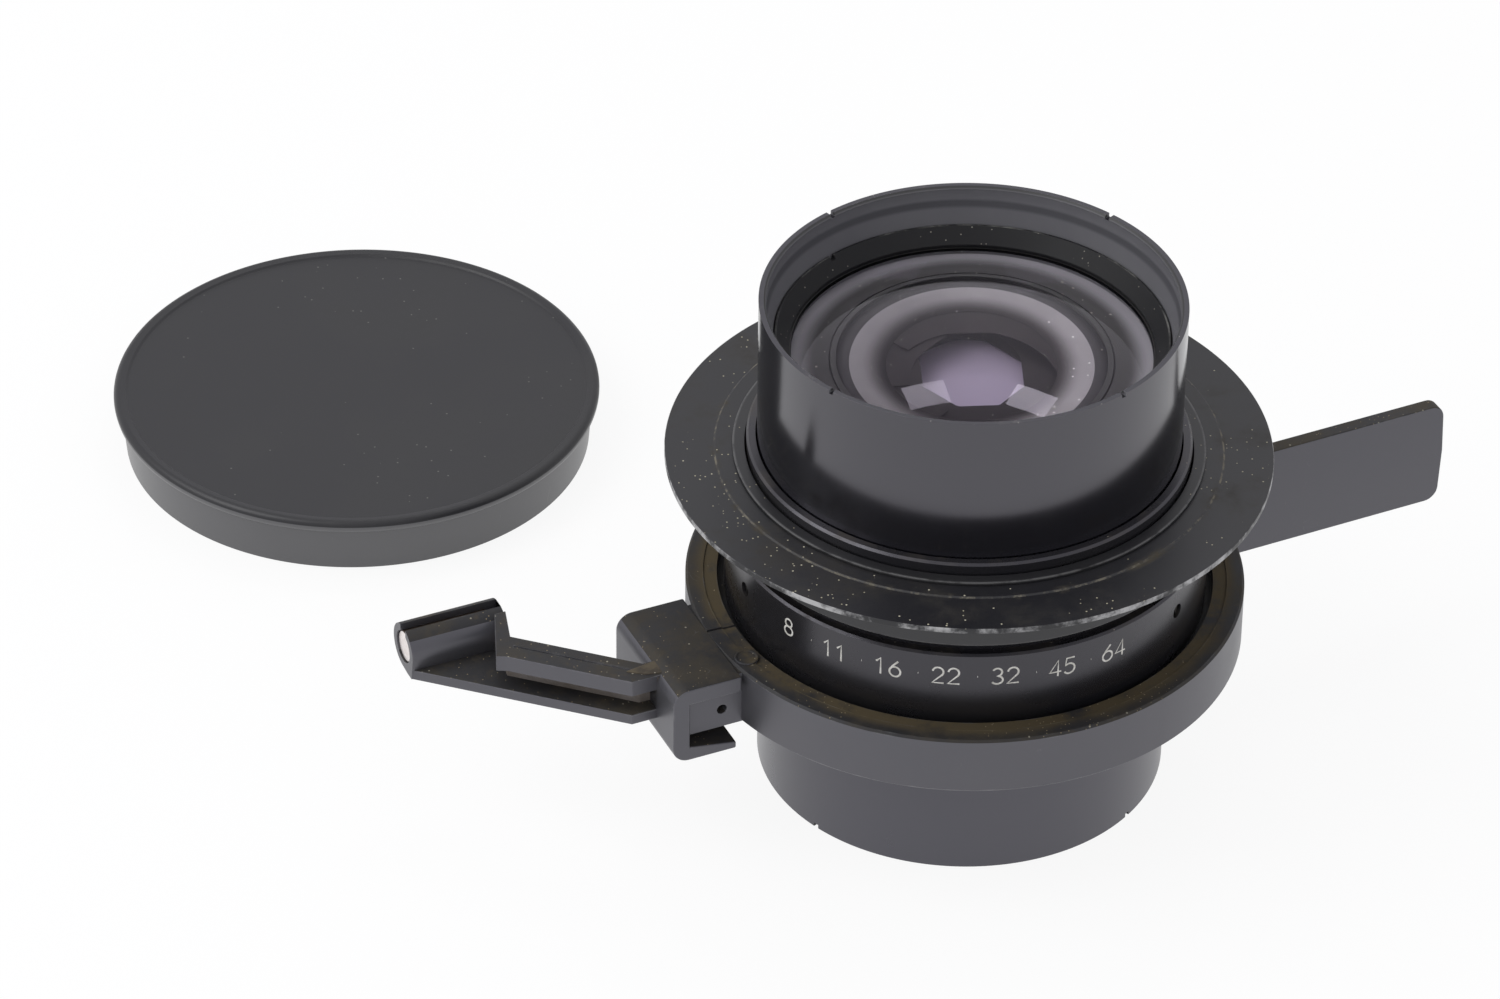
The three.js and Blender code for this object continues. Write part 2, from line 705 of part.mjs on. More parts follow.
// Channel-shaped arm, open towards the near side, with a skewed end wall at the rod holder
function leverArm() {
  const plan = armPlan();
  const bottom = leverBottom + armInset;
  const top = leverTop - armInset;
  const [farStart, farEnd] = plan.far.slice(1);
  const nearStart = plan.near[1];
  const beam = raised([...plan.far, ...plan.endWall, ...plan.near], bottom, top);
  const wall = leverRadius + blockReach;
  const web = at(armTurn + quarterTurn, armWeb);
  const past = at(armTurn + quarterTurn, cutOver);
  const hollow = raised([
    new THREE.Vector2(wall, farStart.y + web.y), farStart.clone().add(web), farEnd.clone().add(web),
    new THREE.Vector2(plan.start + armWeb, holderRadius - holderSide),
    new THREE.Vector2(plan.tip, holderRadius - holderSide),
    plan.nearTip.clone().add(past), nearStart.clone().add(past),
    new THREE.Vector2(wall, nearStart.y + past.y),
  ], bottom + armFootThick, top - armTopThick);
  const grooveFrom = at(armTurn - quarterTurn, armGrooveIn);
  const grooveTo = at(armTurn - quarterTurn, armGrooveIn + armGrooveWidth);
  const groove = raised([
    nearStart.clone().add(grooveTo), plan.near[0].clone().add(grooveTo),
    plan.near[0].clone().add(grooveFrom), nearStart.clone().add(grooveFrom),
  ], top - armGrooveDepth, top + cutOver);
  return beam.subtract(hollow).subtract(groove);
}

// Flat foot that joins the arm to the whole length of the rod holder
function armFoot() {
  const plan = armPlan();
  const bottom = leverBottom + armInset;
  const side = holderFill - holderSide;
  return raised([
    ...plan.far.slice(1), new THREE.Vector2(plan.start, side),
    new THREE.Vector2(plan.tip, side), plan.nearTip, plan.near[1],
  ], bottom, bottom + armFootThick);
}

// Tube with a slot along its top, on a foot, closed at the end next to the arm
function rodHolder() {
  const plan = armPlan();
  const bottom = leverBottom + armInset;
  const tube = sidePin(holderRadius, plan.start, plan.tip, innerSides / 2)
    .translate([0, -holderSide, leverMiddle]);
  const under = block(plan.start, plan.tip, holderFill - holderSide,
    plan.nearTip.y, bottom, leverMiddle);
  const hollow = sidePin(rodBore, plan.boreStart, plan.tip + cutOver, innerSides / 2);
  const slot = block(plan.start - cutOver, plan.tip + cutOver, -holderSlot / 2, holderSlot / 2,
    rodBore - holderSlotSink, holderRadius + cutOver);
  return wasm.Manifold.hull([tube, under]).add(armFoot())
    .subtract(hollow.add(slot).translate([0, -holderSide, leverMiddle]));
}

function leverRing() {
  const attached = hookedBlock().add(leverArm()).add(rodHolder()).rotate([0, 0, blockTurn]);
  const mark = block(leverGrooveRadius - cutOver, leverRadius + cutOver,
    -markWidth / 2, markWidth / 2, leverTop - greaseDepth - markDepth, leverTop + cutOver);
  const shank = sidePin(driveScrewRadius + fitGap, 0, leverRadius + cutOver, screwSides);
  const head = sidePin(driveHeadRadius + fitGap,
    leverRadius - driveHeadSink - driveHeadDepth - fitGap, leverRadius + cutOver, screwSides);
  const drilling = shank.add(head).translate([0, 0, driveHeight]).rotate([0, 0, driveTurn]);
  const solid = leverBearing().add(handle()).add(attached)
    .subtract(mark.rotate([0, 0, markTurn])).subtract(drilling);
  return meshFrom('lever_ring', moulded, solid);
}

function leverRod() {
  const start = armPlan().boreStart;
  const solid = sidePin(rodRadius, start, start + rodLength - rodInset, innerSides / 2)
    .translate([0, -holderSide, leverMiddle]).rotate([0, 0, blockTurn]);
  return meshFrom('lever_rod', rodMetal, solid);
}

function keeperRing() {
  const outer = keeperBore + keeperWidth;
  return meshFrom('keeper_ring', satinBlack, turned([
    [keeperBore, rearStand], [outer - edgeBreak, rearStand], [outer, rearStand + edgeBreak],
    [outer, keeperTop], [keeperBore, keeperTop],
  ], outerSides));
}

// Rear barrel, with the long tube inside the sleeve
function rearBarrel() {
  const pocket = rearRadius - rearPocketWall;
  const thread = rearRadius - rearThreadWall;
  const rim = rearRadius - rearRimWall;
  const relayPocket = tubeRadius - relayPocketWall;
  const relayFloor = plateBottom - relayPocketDepth;
  const glassFoot = rearGlassDepth + rearGlassEdge;
  const solid = turned([
    [rim, 0], [rearRadius, 0], [rearRadius, rearLedge], [tubeRadius, rearLedge],
    [tubeRadius, plateBottom], [relayPocket, plateBottom], [relayPocket, relayFloor],
    [relayPocket - relayLedge, relayFloor],
    [relayPocket - relayLedge, relayFloor - relayLedgeThick],
    [tubeBore, relayFloor - relayLedgeThick - tubeWall], [tubeBore, glassFoot],
    [pocket, glassFoot], [pocket, rearGlassDepth], [thread, rearGlassDepth],
    [thread, rearRimDepth + edgeBreak], [rim, rearRimDepth],
  ], outerSides);
  return meshFrom('rear_barrel', satinBlack,
    notched(solid, rearNotchTurns, rearRadius, rearRimWall, 0));
}

function rearRing() {
  const outer = rearRadius - rearThreadWall - fitGap;
  const inner = rearRadius - rearPocketWall - fitGap - rearBezelWidth;
  const bottom = rearGlassDepth - rearBezelHeight;
  return meshFrom('rear_retaining_ring', mattBlack, turned([
    [inner, rearGlassDepth], [outer, rearGlassDepth], [outer, bottom],
    [outer - bezelLand, bottom], [inner, rearGlassDepth - bezelLip],
  ], innerSides));
}

function relayRing() {
  const outer = tubeRadius - relayPocketWall - fitGap;
  const bottom = plateBottom - relayPocketDepth + relayEdge;
  return meshFrom('relay_retaining_ring', satinBlack, turned([
    [outer - relayRingWidth, bottom], [outer, bottom],
    [outer, bottom + relayRingHeight], [outer - relayRingWidth, bottom + relayRingHeight],
  ], innerSides));
}

function glasses() {
  const innerSeat = cellBottom + cellFloor;
  const relayRadius = tubeRadius - relayPocketWall - fitGap;
  const relaySeat = plateBottom - relayPocketDepth;
  const rearGlassRadius = rearRadius - rearPocketWall - fitGap;
  return [
    lensGlass('front_glass', glassRadius, bezelWidth, glassSeat, glassTop, glassRise, 0),
    lensGlass('inner_glass', innerGlassRadius, innerLedge, innerSeat,
      innerSeat + innerGlassEdge, innerGlassRise, 0),
    lensGlass('relay_glass', relayRadius, relayRingWidth, relaySeat, relaySeat + relayEdge,
      relayRise, 0),
    lensGlass('rear_glass', rearGlassRadius, rearBezelWidth, rearGlassDepth,
      rearGlassDepth + rearGlassEdge, 0, rearGlassRise),
  ];
}

function lensCap() {
  const skirt = capRadius - capSkirtStep;
  const foot = skirt - capDraft;
  const beadFoot = capHeight - capBeadHeight;
  const panel = capHeight - capPanelDrop;
  const beadInner = capRadius - capBeadWidth;
  const solid = turned([
    [foot - capWall, 0], [foot, 0], [skirt, beadFoot],
    ...rounded(capRadius - capBeadHeight / 2, capHeight - capBeadHeight / 2,
      capBeadHeight / 2, capBeadStart, quarterTurn).map((point) => [point.x, point.y]),
    [beadInner, capHeight - edgeBreak / 2], [beadInner - edgeBreak, panel],
    [0, panel], [0, panel - capWall], [skirt - capWall, panel - capWall],
  ], outerSides);
  return meshFrom('lens_cap', capPlastic, solid.translate([-capCentreLeft, capCentreBack, 0]));
}

// The whole object, with the middle of its footprint on the origin
const lens = new THREE.Group();
lens.add(mainBody(), adapterRing(), flange(), flangeNut(), frontBarrel(), frontRing());
lens.add(frontCell(), innerRing(), basePlate(), keeperRing(), rearBarrel());
lens.add(rearRing(), relayRing(), ...glasses());
lens.add(camSleeve(), driveScrew(), leverRing(), leverRod());
for (let blade = 0; blade < bladeCount; blade += 1) lens.add(irisBlade(blade));
for (const [name, turn] of Object.entries(grubTurns)) lens.add(grubScrew(name, turn));
lens.add(lensCap());

const middle = new THREE.Box3().setFromObject(lens).getCenter(new THREE.Vector3());
lens.position.set(-middle.x, -middle.y, 0);

const model = new THREE.Group();
model.add(lens);

export default model;
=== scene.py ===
import random
from math import copysign, cos, pi, radians, sin, sqrt, tau

import bmesh
import bpy
from mathutils import Matrix, Vector
from mathutils.geometry import convex_hull_2d


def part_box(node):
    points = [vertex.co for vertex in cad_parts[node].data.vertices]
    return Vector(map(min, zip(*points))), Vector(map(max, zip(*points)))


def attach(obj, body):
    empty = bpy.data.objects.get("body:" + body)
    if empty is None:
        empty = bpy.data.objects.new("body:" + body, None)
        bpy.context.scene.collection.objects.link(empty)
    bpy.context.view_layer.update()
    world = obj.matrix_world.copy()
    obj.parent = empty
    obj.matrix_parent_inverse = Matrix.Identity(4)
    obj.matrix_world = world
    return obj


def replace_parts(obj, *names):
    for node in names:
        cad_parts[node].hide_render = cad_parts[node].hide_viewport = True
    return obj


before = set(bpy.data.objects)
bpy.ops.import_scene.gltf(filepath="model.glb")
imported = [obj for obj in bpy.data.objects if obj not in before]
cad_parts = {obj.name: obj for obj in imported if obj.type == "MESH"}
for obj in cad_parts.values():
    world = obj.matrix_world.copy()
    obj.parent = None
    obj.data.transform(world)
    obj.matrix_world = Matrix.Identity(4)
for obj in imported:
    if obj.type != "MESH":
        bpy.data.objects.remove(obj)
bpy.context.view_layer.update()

# Camera: a long studio lens that looks down on the object from in front, from 1.6 m away.
# Its place and turn were fitted to the ellipses of the round rims.
CAMERA_FROM_LENS = (0, -1.24376, 0.95968)
CAMERA_DOWN = 35.7331
CAMERA_RIGHT = -2.179
CAMERA_ROLL = 0.6769
CAMERA_FOCAL_MM = 168.70
SENSOR_MM = 36
CLIP_START = 0.05


def placed(name, data):
    """A new object in the scene."""
    item = bpy.data.objects.new(name, data)
    bpy.context.scene.collection.objects.link(item)
    return item


barrel_low, barrel_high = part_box("front_barrel")
lens_axis = Vector(((barrel_low.x + barrel_high.x) / 2, (barrel_low.y + barrel_high.y) / 2, 0))
down, right, roll = (radians(turn) for turn in (CAMERA_DOWN, CAMERA_RIGHT, CAMERA_ROLL))
ahead = Vector((sin(right) * cos(down), cos(right) * cos(down), -sin(down)))
level = Vector((cos(right), -sin(right), 0))
upward = level.cross(ahead)
side = cos(roll) * level + sin(roll) * upward
top = cos(roll) * upward - sin(roll) * level
camera = placed("camera", bpy.data.cameras.new("camera"))
camera.matrix_world = (Matrix.Translation(lens_axis + Vector(CAMERA_FROM_LENS))
                       @ Matrix((side, top, -ahead)).transposed().to_4x4())
camera.data.sensor_width = SENSOR_MM
camera.data.lens = CAMERA_FOCAL_MM
camera.data.clip_start = CLIP_START
bpy.context.scene.camera = camera
bpy.context.scene.view_settings.view_transform = "Standard"

# Studio floor: a wide sheet of white paper that the camera and the gloss see as pure white.
# The rest of its shader is plain diffuse paper, so that it keeps the soft shadows.
FLOOR_HALF = 5
FLOOR_DROP = 0.0001
FLOOR_WHITE = 0.9
FLOOR_GLOW_SHARE = 0.9


def feed(made, inputs):
    """Gives a node's inputs their values, or links them to other nodes' outputs."""
    for name, value in inputs.items():
        if isinstance(value, bpy.types.NodeSocket):
            made.id_data.links.new(value, made.inputs[name])
        else:
            made.inputs[name].default_value = value


def node(tree, kind, inputs=None, **settings):
    """A new shader node with its settings and inputs."""
    made = tree.nodes.new(kind)
    for name, value in settings.items():
        setattr(made, name, value)
    feed(made, inputs or {})
    return made


def worked(operation, *values):
    """The output of a Math node, in the tree of the outputs that it works on."""
    tree = next(value.id_data for value in values if isinstance(value, bpy.types.NodeSocket))
    return node(tree, "ShaderNodeMath", dict(enumerate(values)), operation=operation).outputs[0]


floor_mesh = bpy.data.meshes.new("studio_floor")
floor_mesh.from_pydata(
    [(x * FLOOR_HALF, y * FLOOR_HALF, -FLOOR_DROP)
     for x, y in ((-1, -1), (1, -1), (1, 1), (-1, 1))], [], [(0, 1, 2, 3)])
studio_floor = placed("studio_floor", floor_mesh)
paper = bpy.data.materials.new("studio_paper")
paper.use_nodes = True
paper_tree = paper.node_tree
paper_tree.nodes.clear()
rays = node(paper_tree, "ShaderNodeLightPath").outputs
seen = worked("MAXIMUM", rays["Is Camera Ray"], rays["Is Glossy Ray"])
seen = worked("MAXIMUM", seen, rays["Is Transmission Ray"])
matte = node(paper_tree, "ShaderNodeBsdfDiffuse", {"Color": (FLOOR_WHITE,) * 3 + (1,)})
glow = node(paper_tree, "ShaderNodeEmission", {"Color": (1, 1, 1, 1), "Strength": 1.0})
paper_mix = node(paper_tree, "ShaderNodeMixShader", {
    0: worked("MULTIPLY", seen, FLOOR_GLOW_SHARE), 1: matte.outputs[0], 2: glow.outputs[0]})
node(paper_tree, "ShaderNodeOutputMaterial", {"Surface": paper_mix.outputs[0]})
floor_mesh.materials.append(paper)

# Studio light: a cool white tent all round, one large soft lamp from the upper left, and two
# small soft boxes above and behind, which show as two pale patches in the front glass.
TENT_COLOR = (0.965, 0.96, 1.0, 1)
TENT_STRENGTH = 0.78
LAMPS = {"soft_lamp": ((-1.1, -0.25, 1.3), 1.1, 11), "box_left": ((-0.21, 0.93, 1.54), 0.2, 0.8),
         "box_right": ((0.29, 0.93, 1.54), 0.2, 1.1)}

tent = bpy.data.worlds.new("white_tent")
tent.use_nodes = True
feed(tent.node_tree.nodes["Background"], {"Color": TENT_COLOR, "Strength": TENT_STRENGTH})
bpy.context.scene.world = tent
for name, (from_lens, size, watts) in LAMPS.items():
    lamp_data = bpy.data.lights.new(name, "AREA")
    lamp_data.shape = "SQUARE"
    lamp_data.size = size
    lamp_data.energy = watts
    lamp = placed(name, lamp_data)
    lamp.location = lens_axis + Vector(from_lens)
    lamp.rotation_euler = (-Vector(from_lens)).to_track_quat("-Z", "Y").to_euler()

# Main body: one aluminium turning with the neck, the plain cylinder that carries the scale, and
# the bearing for the lever ring. It is anodised gloss black, and the barrels screw into it.
MM = 0.001
BODY_RADIUS = 52.8
SHOULDER = 65.9
BODY_OUTLINE = [
    (45.4, 31.2), (50.5, 31.2), (50.5, 33.2), (51.8, 33.2), (51.8, 44.3), (BODY_RADIUS, 44.3),
    (BODY_RADIUS, 63.0), (52.3, 63.5), (50.4, 63.5), (50.4, SHOULDER), (48.3, SHOULDER),
    (48.3, 83.5), (47.8, 84.0), (46.3, 84.0), (46.3, 64.0), (43.0, 64.0), (43.0, 36.0),
    (45.4, 36.0)]
GRUB_HEIGHT = 57.2
GRUB_HOLE_RADIUS = 1.65
GRUB_TIP = 47.1
GRUB_TURNS = {"grub_screw_left": -153.6, "grub_screw_right": -29.4, "grub_screw_back": 88.5}
BODY_BLACK = (0.011, 0.011, 0.013)
COOL = (0.92, 0.9, 1.0, 1)
SHARP_FROM = 25
BAR_SIDES = 64


def mesh_from(bm):
    """Closes a bmesh into a mesh with its faces pointing out."""
    bmesh.ops.recalc_face_normals(bm, faces=bm.faces)
    mesh = bpy.data.meshes.new("part")
    bm.to_mesh(mesh)
    bm.free()
    return mesh


def turned(outline, sides=256):
    """A turned solid from a closed outline of (radius, height) points in millimetres."""
    bm = bmesh.new()
    spokes = [(cos(tau * step / sides), sin(tau * step / sides)) for step in range(sides)]
    rings = []
    for radius, height in outline:
        around = spokes if radius else [(0, 0)]
        rings.append([bm.verts.new((x * radius * MM, y * radius * MM, height * MM))
                      for x, y in around])
    for ring, after in zip(rings, rings[1:] + rings[:1]):
        if len(ring) + len(after) == 2:
            continue
        for step in range(sides):
            far = (step + 1) % sides
            corners = [ring[step % len(ring)], ring[far % len(ring)],
                       after[far % len(after)], after[step % len(after)]]
            bm.faces.new(list(dict.fromkeys(corners)))
    return mesh_from(bm)


def bar(radius, start, end, height, turn, sideways=0):
    """A round bar that lies outwards from the lens axis, for a pin or a drilling."""
    bm = bmesh.new()
    place = (Matrix.Rotation(radians(turn), 4, "Z")
             @ Matrix.Translation(Vector(((start + end) / 2, sideways, height)) * MM)
             @ Matrix.Rotation(pi / 2, 4, "Y"))
    bmesh.ops.create_cone(bm, cap_ends=True, segments=BAR_SIDES, radius1=radius * MM,
                          radius2=radius * MM, depth=(end - start) * MM, matrix=place)
    return mesh_from(bm)


def combined(mesh, others, operation="DIFFERENCE"):
    """The mesh with other closed meshes cut out of it or joined to it."""
    work = placed("work", mesh)
    tools = [placed("tool", other) for other in others]
    for tool in tools:
        step = work.modifiers.new("step", "BOOLEAN")
        step.operation = operation
        step.solver = "EXACT"
        step.object = tool
    graph = bpy.context.evaluated_depsgraph_get()
    result = bpy.data.meshes.new_from_object(work.evaluated_get(graph))
    for item in [work, *tools]:
        bpy.data.objects.remove(item)
    return result


def seated(name, mesh, body, slot, *finishes, turn=0, at=lens_axis):
    """A piece in its place that rides on its body and has its finish."""
    piece = placed(name, mesh)
    piece.location = at
    piece.rotation_euler.z = radians(turn)
    for finish in finishes:
        mesh.materials.append(finish)
    for face in mesh.polygons:
        face.use_smooth = True
    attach(piece, body)
    return piece


def soften(piece, width, steps=3):
    """Breaks the sharp edges as a turned or moulded piece has them, and keeps flat faces flat."""
    bevel = piece.modifiers.new("broken edges", "BEVEL")
    bevel.width = width * MM
    bevel.segments = steps
    bevel.limit_method = "ANGLE"
    bevel.angle_limit = radians(SHARP_FROM)
    piece.modifiers.new("flat faces", "WEIGHTED_NORMAL").keep_sharp = True
    return piece


def effect(name, output, **inputs):
    """A shader effect with named number sockets that every finish can use."""
    tree = bpy.data.node_groups.new(name, "ShaderNodeTree")
    for label, value in inputs.items():
        socket = tree.interface.new_socket(label, in_out="INPUT", socket_type="NodeSocketFloat")
        socket.default_value = value
    tree.interface.new_socket(output, in_out="OUTPUT", socket_type="NodeSocketFloat")
    given = tree.nodes.new("NodeGroupInput").outputs
    return tree, given, tree.nodes.new("NodeGroupOutput").inputs


def faded(value, start, end):
    """A soft step from 0 at start to 1 at end."""
    return node(value.id_data, "ShaderNodeMapRange",
                {"Value": value, "From Min": start, "From Max": end},
                interpolation_type="SMOOTHSTEP").outputs["Result"]


def place_on_piece(tree):
    return node(tree, "ShaderNodeTexCoord").outputs["Object"]


def facing_up(tree):
    """1 where the surface lies flat and dust can settle."""
    normal = node(tree, "ShaderNodeNewGeometry").outputs["Normal"]
    height = node(tree, "ShaderNodeSeparateXYZ", {0: normal}).outputs["Z"]
    return faded(height, 0.25, 0.8)


def cloud(tree, scale, detail=6.0, roughness=0.6):
    return node(tree, "ShaderNodeTexNoise", {
        "Vector": place_on_piece(tree), "Scale": scale, "Detail": detail, "Roughness": roughness
    }).outputs["Fac"]


# Mottle: uneven depth of colour, as in anodising and moulded plastic
mottle, given, out = effect("Mottle", "Mask", Scale=60, Spread=0.15)
cloudy = cloud(mottle, given["Scale"], 8.0, 0.65)
mottle.links.new(faded(cloudy, worked("SUBTRACT", 0.5, given["Spread"]),
                       worked("ADD", 0.5, given["Spread"])), out["Mask"])

# Film: a thin cover of dust or grime that lies in patches on what faces up
film, given, out = effect("Film", "Mask", Scale=40, Cover=0.4)
edge = worked("SUBTRACT", 1.0, given["Cover"])
patches = faded(cloud(film, given["Scale"], 10.0, 0.7), worked("MULTIPLY", edge, 0.75),
                worked("ADD", edge, 0.12))
film.links.new(worked("MULTIPLY", patches, facing_up(film)), out["Mask"])

# Specks: single grains of dust, in loose groups, on what faces up
specks, given, out = effect("Specks", "Mask", Scale=700, Size=0.2, Amount=0.3, Groups=30)
cells = node(specks, "ShaderNodeTexVoronoi", {
    "Vector": place_on_piece(specks), "Scale": given["Scale"]}).outputs
chosen = node(specks, "ShaderNodeSeparateColor", {0: cells["Color"]}).outputs[0]
grouped = worked("MULTIPLY", given["Amount"],
                 faded(cloud(specks, given["Groups"], 3.0), 0.42, 0.62))
kept = worked("LESS_THAN", chosen, grouped)
grain = faded(cells["Distance"], given["Size"], worked("MULTIPLY", given["Size"], 0.6))
specks.links.new(worked("MULTIPLY", worked("MULTIPLY", kept, grain), facing_up(specks)),
                 out["Mask"])

# Scuffs: thin short scratches where things have rubbed
scuffs, given, out = effect("Scuffs", "Mask", Scale=90, Cover=0.4, Width=0.02)
wander = node(scuffs, "ShaderNodeTexNoise", {
    "Vector": place_on_piece(scuffs), "Scale": given["Scale"], "Detail": 2.0}).outputs["Color"]
drawn = node(scuffs, "ShaderNodeMix", {0: 0.06, 4: place_on_piece(scuffs), 5: wander},
             data_type="VECTOR").outputs[1]
lines = node(scuffs, "ShaderNodeTexVoronoi", {
    "Vector": drawn, "Scale": worked("MULTIPLY", given["Scale"], 2.4)},
    feature="DISTANCE_TO_EDGE").outputs["Distance"]
thin = faded(lines, given["Width"], 0.0)
rubbed = faded(cloud(scuffs, given["Scale"], 6.0, 0.7),
               worked("SUBTRACT", 1.0, given["Cover"]), worked("SUBTRACT", 1.08, given["Cover"]))
scuffs.links.new(worked("MULTIPLY", thin, rubbed), out["Mask"])

# Fine tooth: the microscopic relief of anodised or moulded surfaces
tooth, given, out = effect("Fine tooth", "Height", Scale=4000)
tooth.links.new(cloud(tooth, given["Scale"], 3.0, 0.5), out["Height"])


def layer(group):
    """A way to lay another colour and roughness over a finish, through an effect's mask."""
    return lambda color, roughness, **values: (group, values, color, roughness)


mottled, filmed, specked, scuffed = (layer(group) for group in (mottle, film, specks, scuffs))


def surface(name, color, roughness, layers=(), tooth_scale=4000, tooth_depth=0.006, **sockets):
    """A Principled finish: base colour and roughness, with masked layers laid over them."""
    finish = bpy.data.materials.new(name)
    finish.use_nodes = True
    tree = finish.node_tree
    shader = tree.nodes["Principled BSDF"]
    shade, rough = (*color, 1), roughness
    for group, values, layer_color, layer_roughness in layers:
        mask = node(tree, "ShaderNodeGroup", values, node_tree=group)
        shade = node(tree, "ShaderNodeMix", {0: mask.outputs[0], 6: shade, 7: (*layer_color, 1)},
                     data_type="RGBA").outputs[2]
        rough = node(tree, "ShaderNodeMix", {0: mask.outputs[0], 2: rough, 3: layer_roughness}
                     ).outputs[0]
    relief = node(tree, "ShaderNodeGroup", {"Scale": tooth_scale}, node_tree=tooth)
    bump = node(tree, "ShaderNodeBump", {
        "Strength": 1.0, "Distance": tooth_depth * MM, "Height": relief.outputs[0]})
    feed(shader, {"Base Color": shade, "Roughness": rough, "Normal": bump.outputs[0]})
    feed(shader, {label.replace("_", " "): value for label, value in sockets.items()})
    return finish


gloss_body = surface("body_anodised", BODY_BLACK, 0.24, [
    mottled((0.013, 0.0125, 0.013), 0.3, Scale=35, Spread=0.2),
    filmed((0.042, 0.036, 0.026), 0.6, Scale=60, Cover=0.42),
    specked((0.3, 0.27, 0.22), 0.8, Scale=900, Size=0.16, Amount=0.25),
    scuffed((0.05, 0.05, 0.052), 0.45, Scale=60, Cover=0.33, Width=0.012),
], tooth_depth=0.002, IOR=1.65, Specular_Tint=COOL)
body_mesh = combined(turned(BODY_OUTLINE), [
    bar(GRUB_HOLE_RADIUS, GRUB_TIP, BODY_RADIUS + 2, GRUB_HEIGHT, turn)
    for turn in GRUB_TURNS.values()])
main_body = soften(seated("body_turning", body_mesh, "lens", "body_black", gloss_body), 0.18)
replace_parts(main_body, "main_body")

# Aperture scale: plain numbers of a generic scale, cut into the cylinder with a round cutter
# and filled with white paint. Small dots between them mark the half stops.
DIGIT_HEIGHT = 4.1
DIGIT_STEP = 3.35
STROKE_RADIUS = 0.32
STROKE_SINK = 0.22
HALF_STOP = 6.9
SCALE_BASE = 55.75
SCALE_NUMBERS = {-134.5: "8", -120.7: "11", -106.9: "16", -93.1: "22", -79.3: "32", -65.5: "45",
                 -51.7: "64"}


def arc(x, y, wide, tall, start, end, steps=14):
    return [(x + wide * cos(radians(start + (end - start) * step / steps)),
             y + tall * sin(radians(start + (end - start) * step / steps)))
            for step in range(steps + 1)]


DIGITS = {
    "1": [[(0.1, 0.76), (0.34, 1), (0.34, 0)]],
    "2": [arc(0.31, 0.71, 0.28, 0.29, 170, -38) + [(0.01, 0), (0.62, 0)]],
    "3": [arc(0.29, 0.75, 0.25, 0.25, 150, -90) + arc(0.29, 0.25, 0.3, 0.25, 90, -150)],
    "4": [[(0.46, 0), (0.46, 1), (0, 0.27), (0.64, 0.27)]],
    "5": [[(0.56, 1), (0.12, 1), (0.06, 0.55)] + arc(0.28, 0.32, 0.31, 0.32, 128, -150)],
    "6": [[(0.48, 1), (0.2, 0.68)] + arc(0.31, 0.31, 0.3, 0.31, 160, 520, 24)],
    "8": [arc(0.31, 0.76, 0.24, 0.24, 0, 360, 20), arc(0.31, 0.27, 0.3, 0.27, 0, 360, 20)],
}


def engraved(strokes, start_turn, base):
    """Strokes in millimetres, wrapped round the body's cylinder from one turn onwards."""
    for stroke in strokes:
        line = scale_curve.splines.new("POLY")
        line.points.add(len(stroke) - 1)
        for point, (x, y) in zip(line.points, stroke):
            turn = radians(start_turn) + x / BODY_RADIUS
            reach = (BODY_RADIUS - STROKE_SINK) * MM
            point.co = (reach * cos(turn), reach * sin(turn), (base + y) * MM, 1)


scale_curve = bpy.data.curves.new("aperture_scale", "CURVE")
scale_curve.dimensions = "3D"
scale_curve.bevel_depth = STROKE_RADIUS * MM
scale_curve.bevel_resolution = 4
scale_curve.use_fill_caps = True
for turn, number in SCALE_NUMBERS.items():
    width = DIGIT_STEP * len(number)
    for place, digit in enumerate(number):
        left = place * DIGIT_STEP - width / 2
        engraved([[(left + x * DIGIT_HEIGHT, y * DIGIT_HEIGHT) for x, y in stroke]
                  for stroke in DIGITS[digit]], turn, SCALE_BASE)
for turn in list(SCALE_NUMBERS)[:-1]:
    engraved([[(-0.05, 0), (0.05, 0)]], turn + HALF_STOP, SCALE_BASE + DIGIT_HEIGHT / 2)
scale_white = surface("scale_paint", (0.74, 0.73, 0.68), 0.5, [
    mottled((0.55, 0.54, 0.49), 0.6, Scale=900, Spread=0.1)])
aperture_scale = placed("aperture_scale", scale_curve)
aperture_scale.location = lens_axis
scale_curve.materials.append(scale_white)
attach(aperture_scale, "lens")

# Grub screws: three slotted steel screws, blackened by oil, that lie deep in the cylinder's
# radial holes and lock the front barrel.
GRUB_RADIUS = 1.35
GRUB_LENGTH = 5
GRUB_SLOT = 0.5


def boxed(x, y, z, turn=0):
    """A plain block between two places on each axis, turned round the lens axis."""
    bm = bmesh.new()
    middle = Vector((sum(x), sum(y), sum(z))) / 2 * MM
    size = Matrix.Diagonal(Vector((x[1] - x[0], y[1] - y[0], z[1] - z[0], 1 / MM)) * MM)
    bmesh.ops.create_cube(bm, size=1, matrix=(
        Matrix.Rotation(radians(turn), 4, "Z") @ Matrix.Translation(middle) @ size))
    return mesh_from(bm)


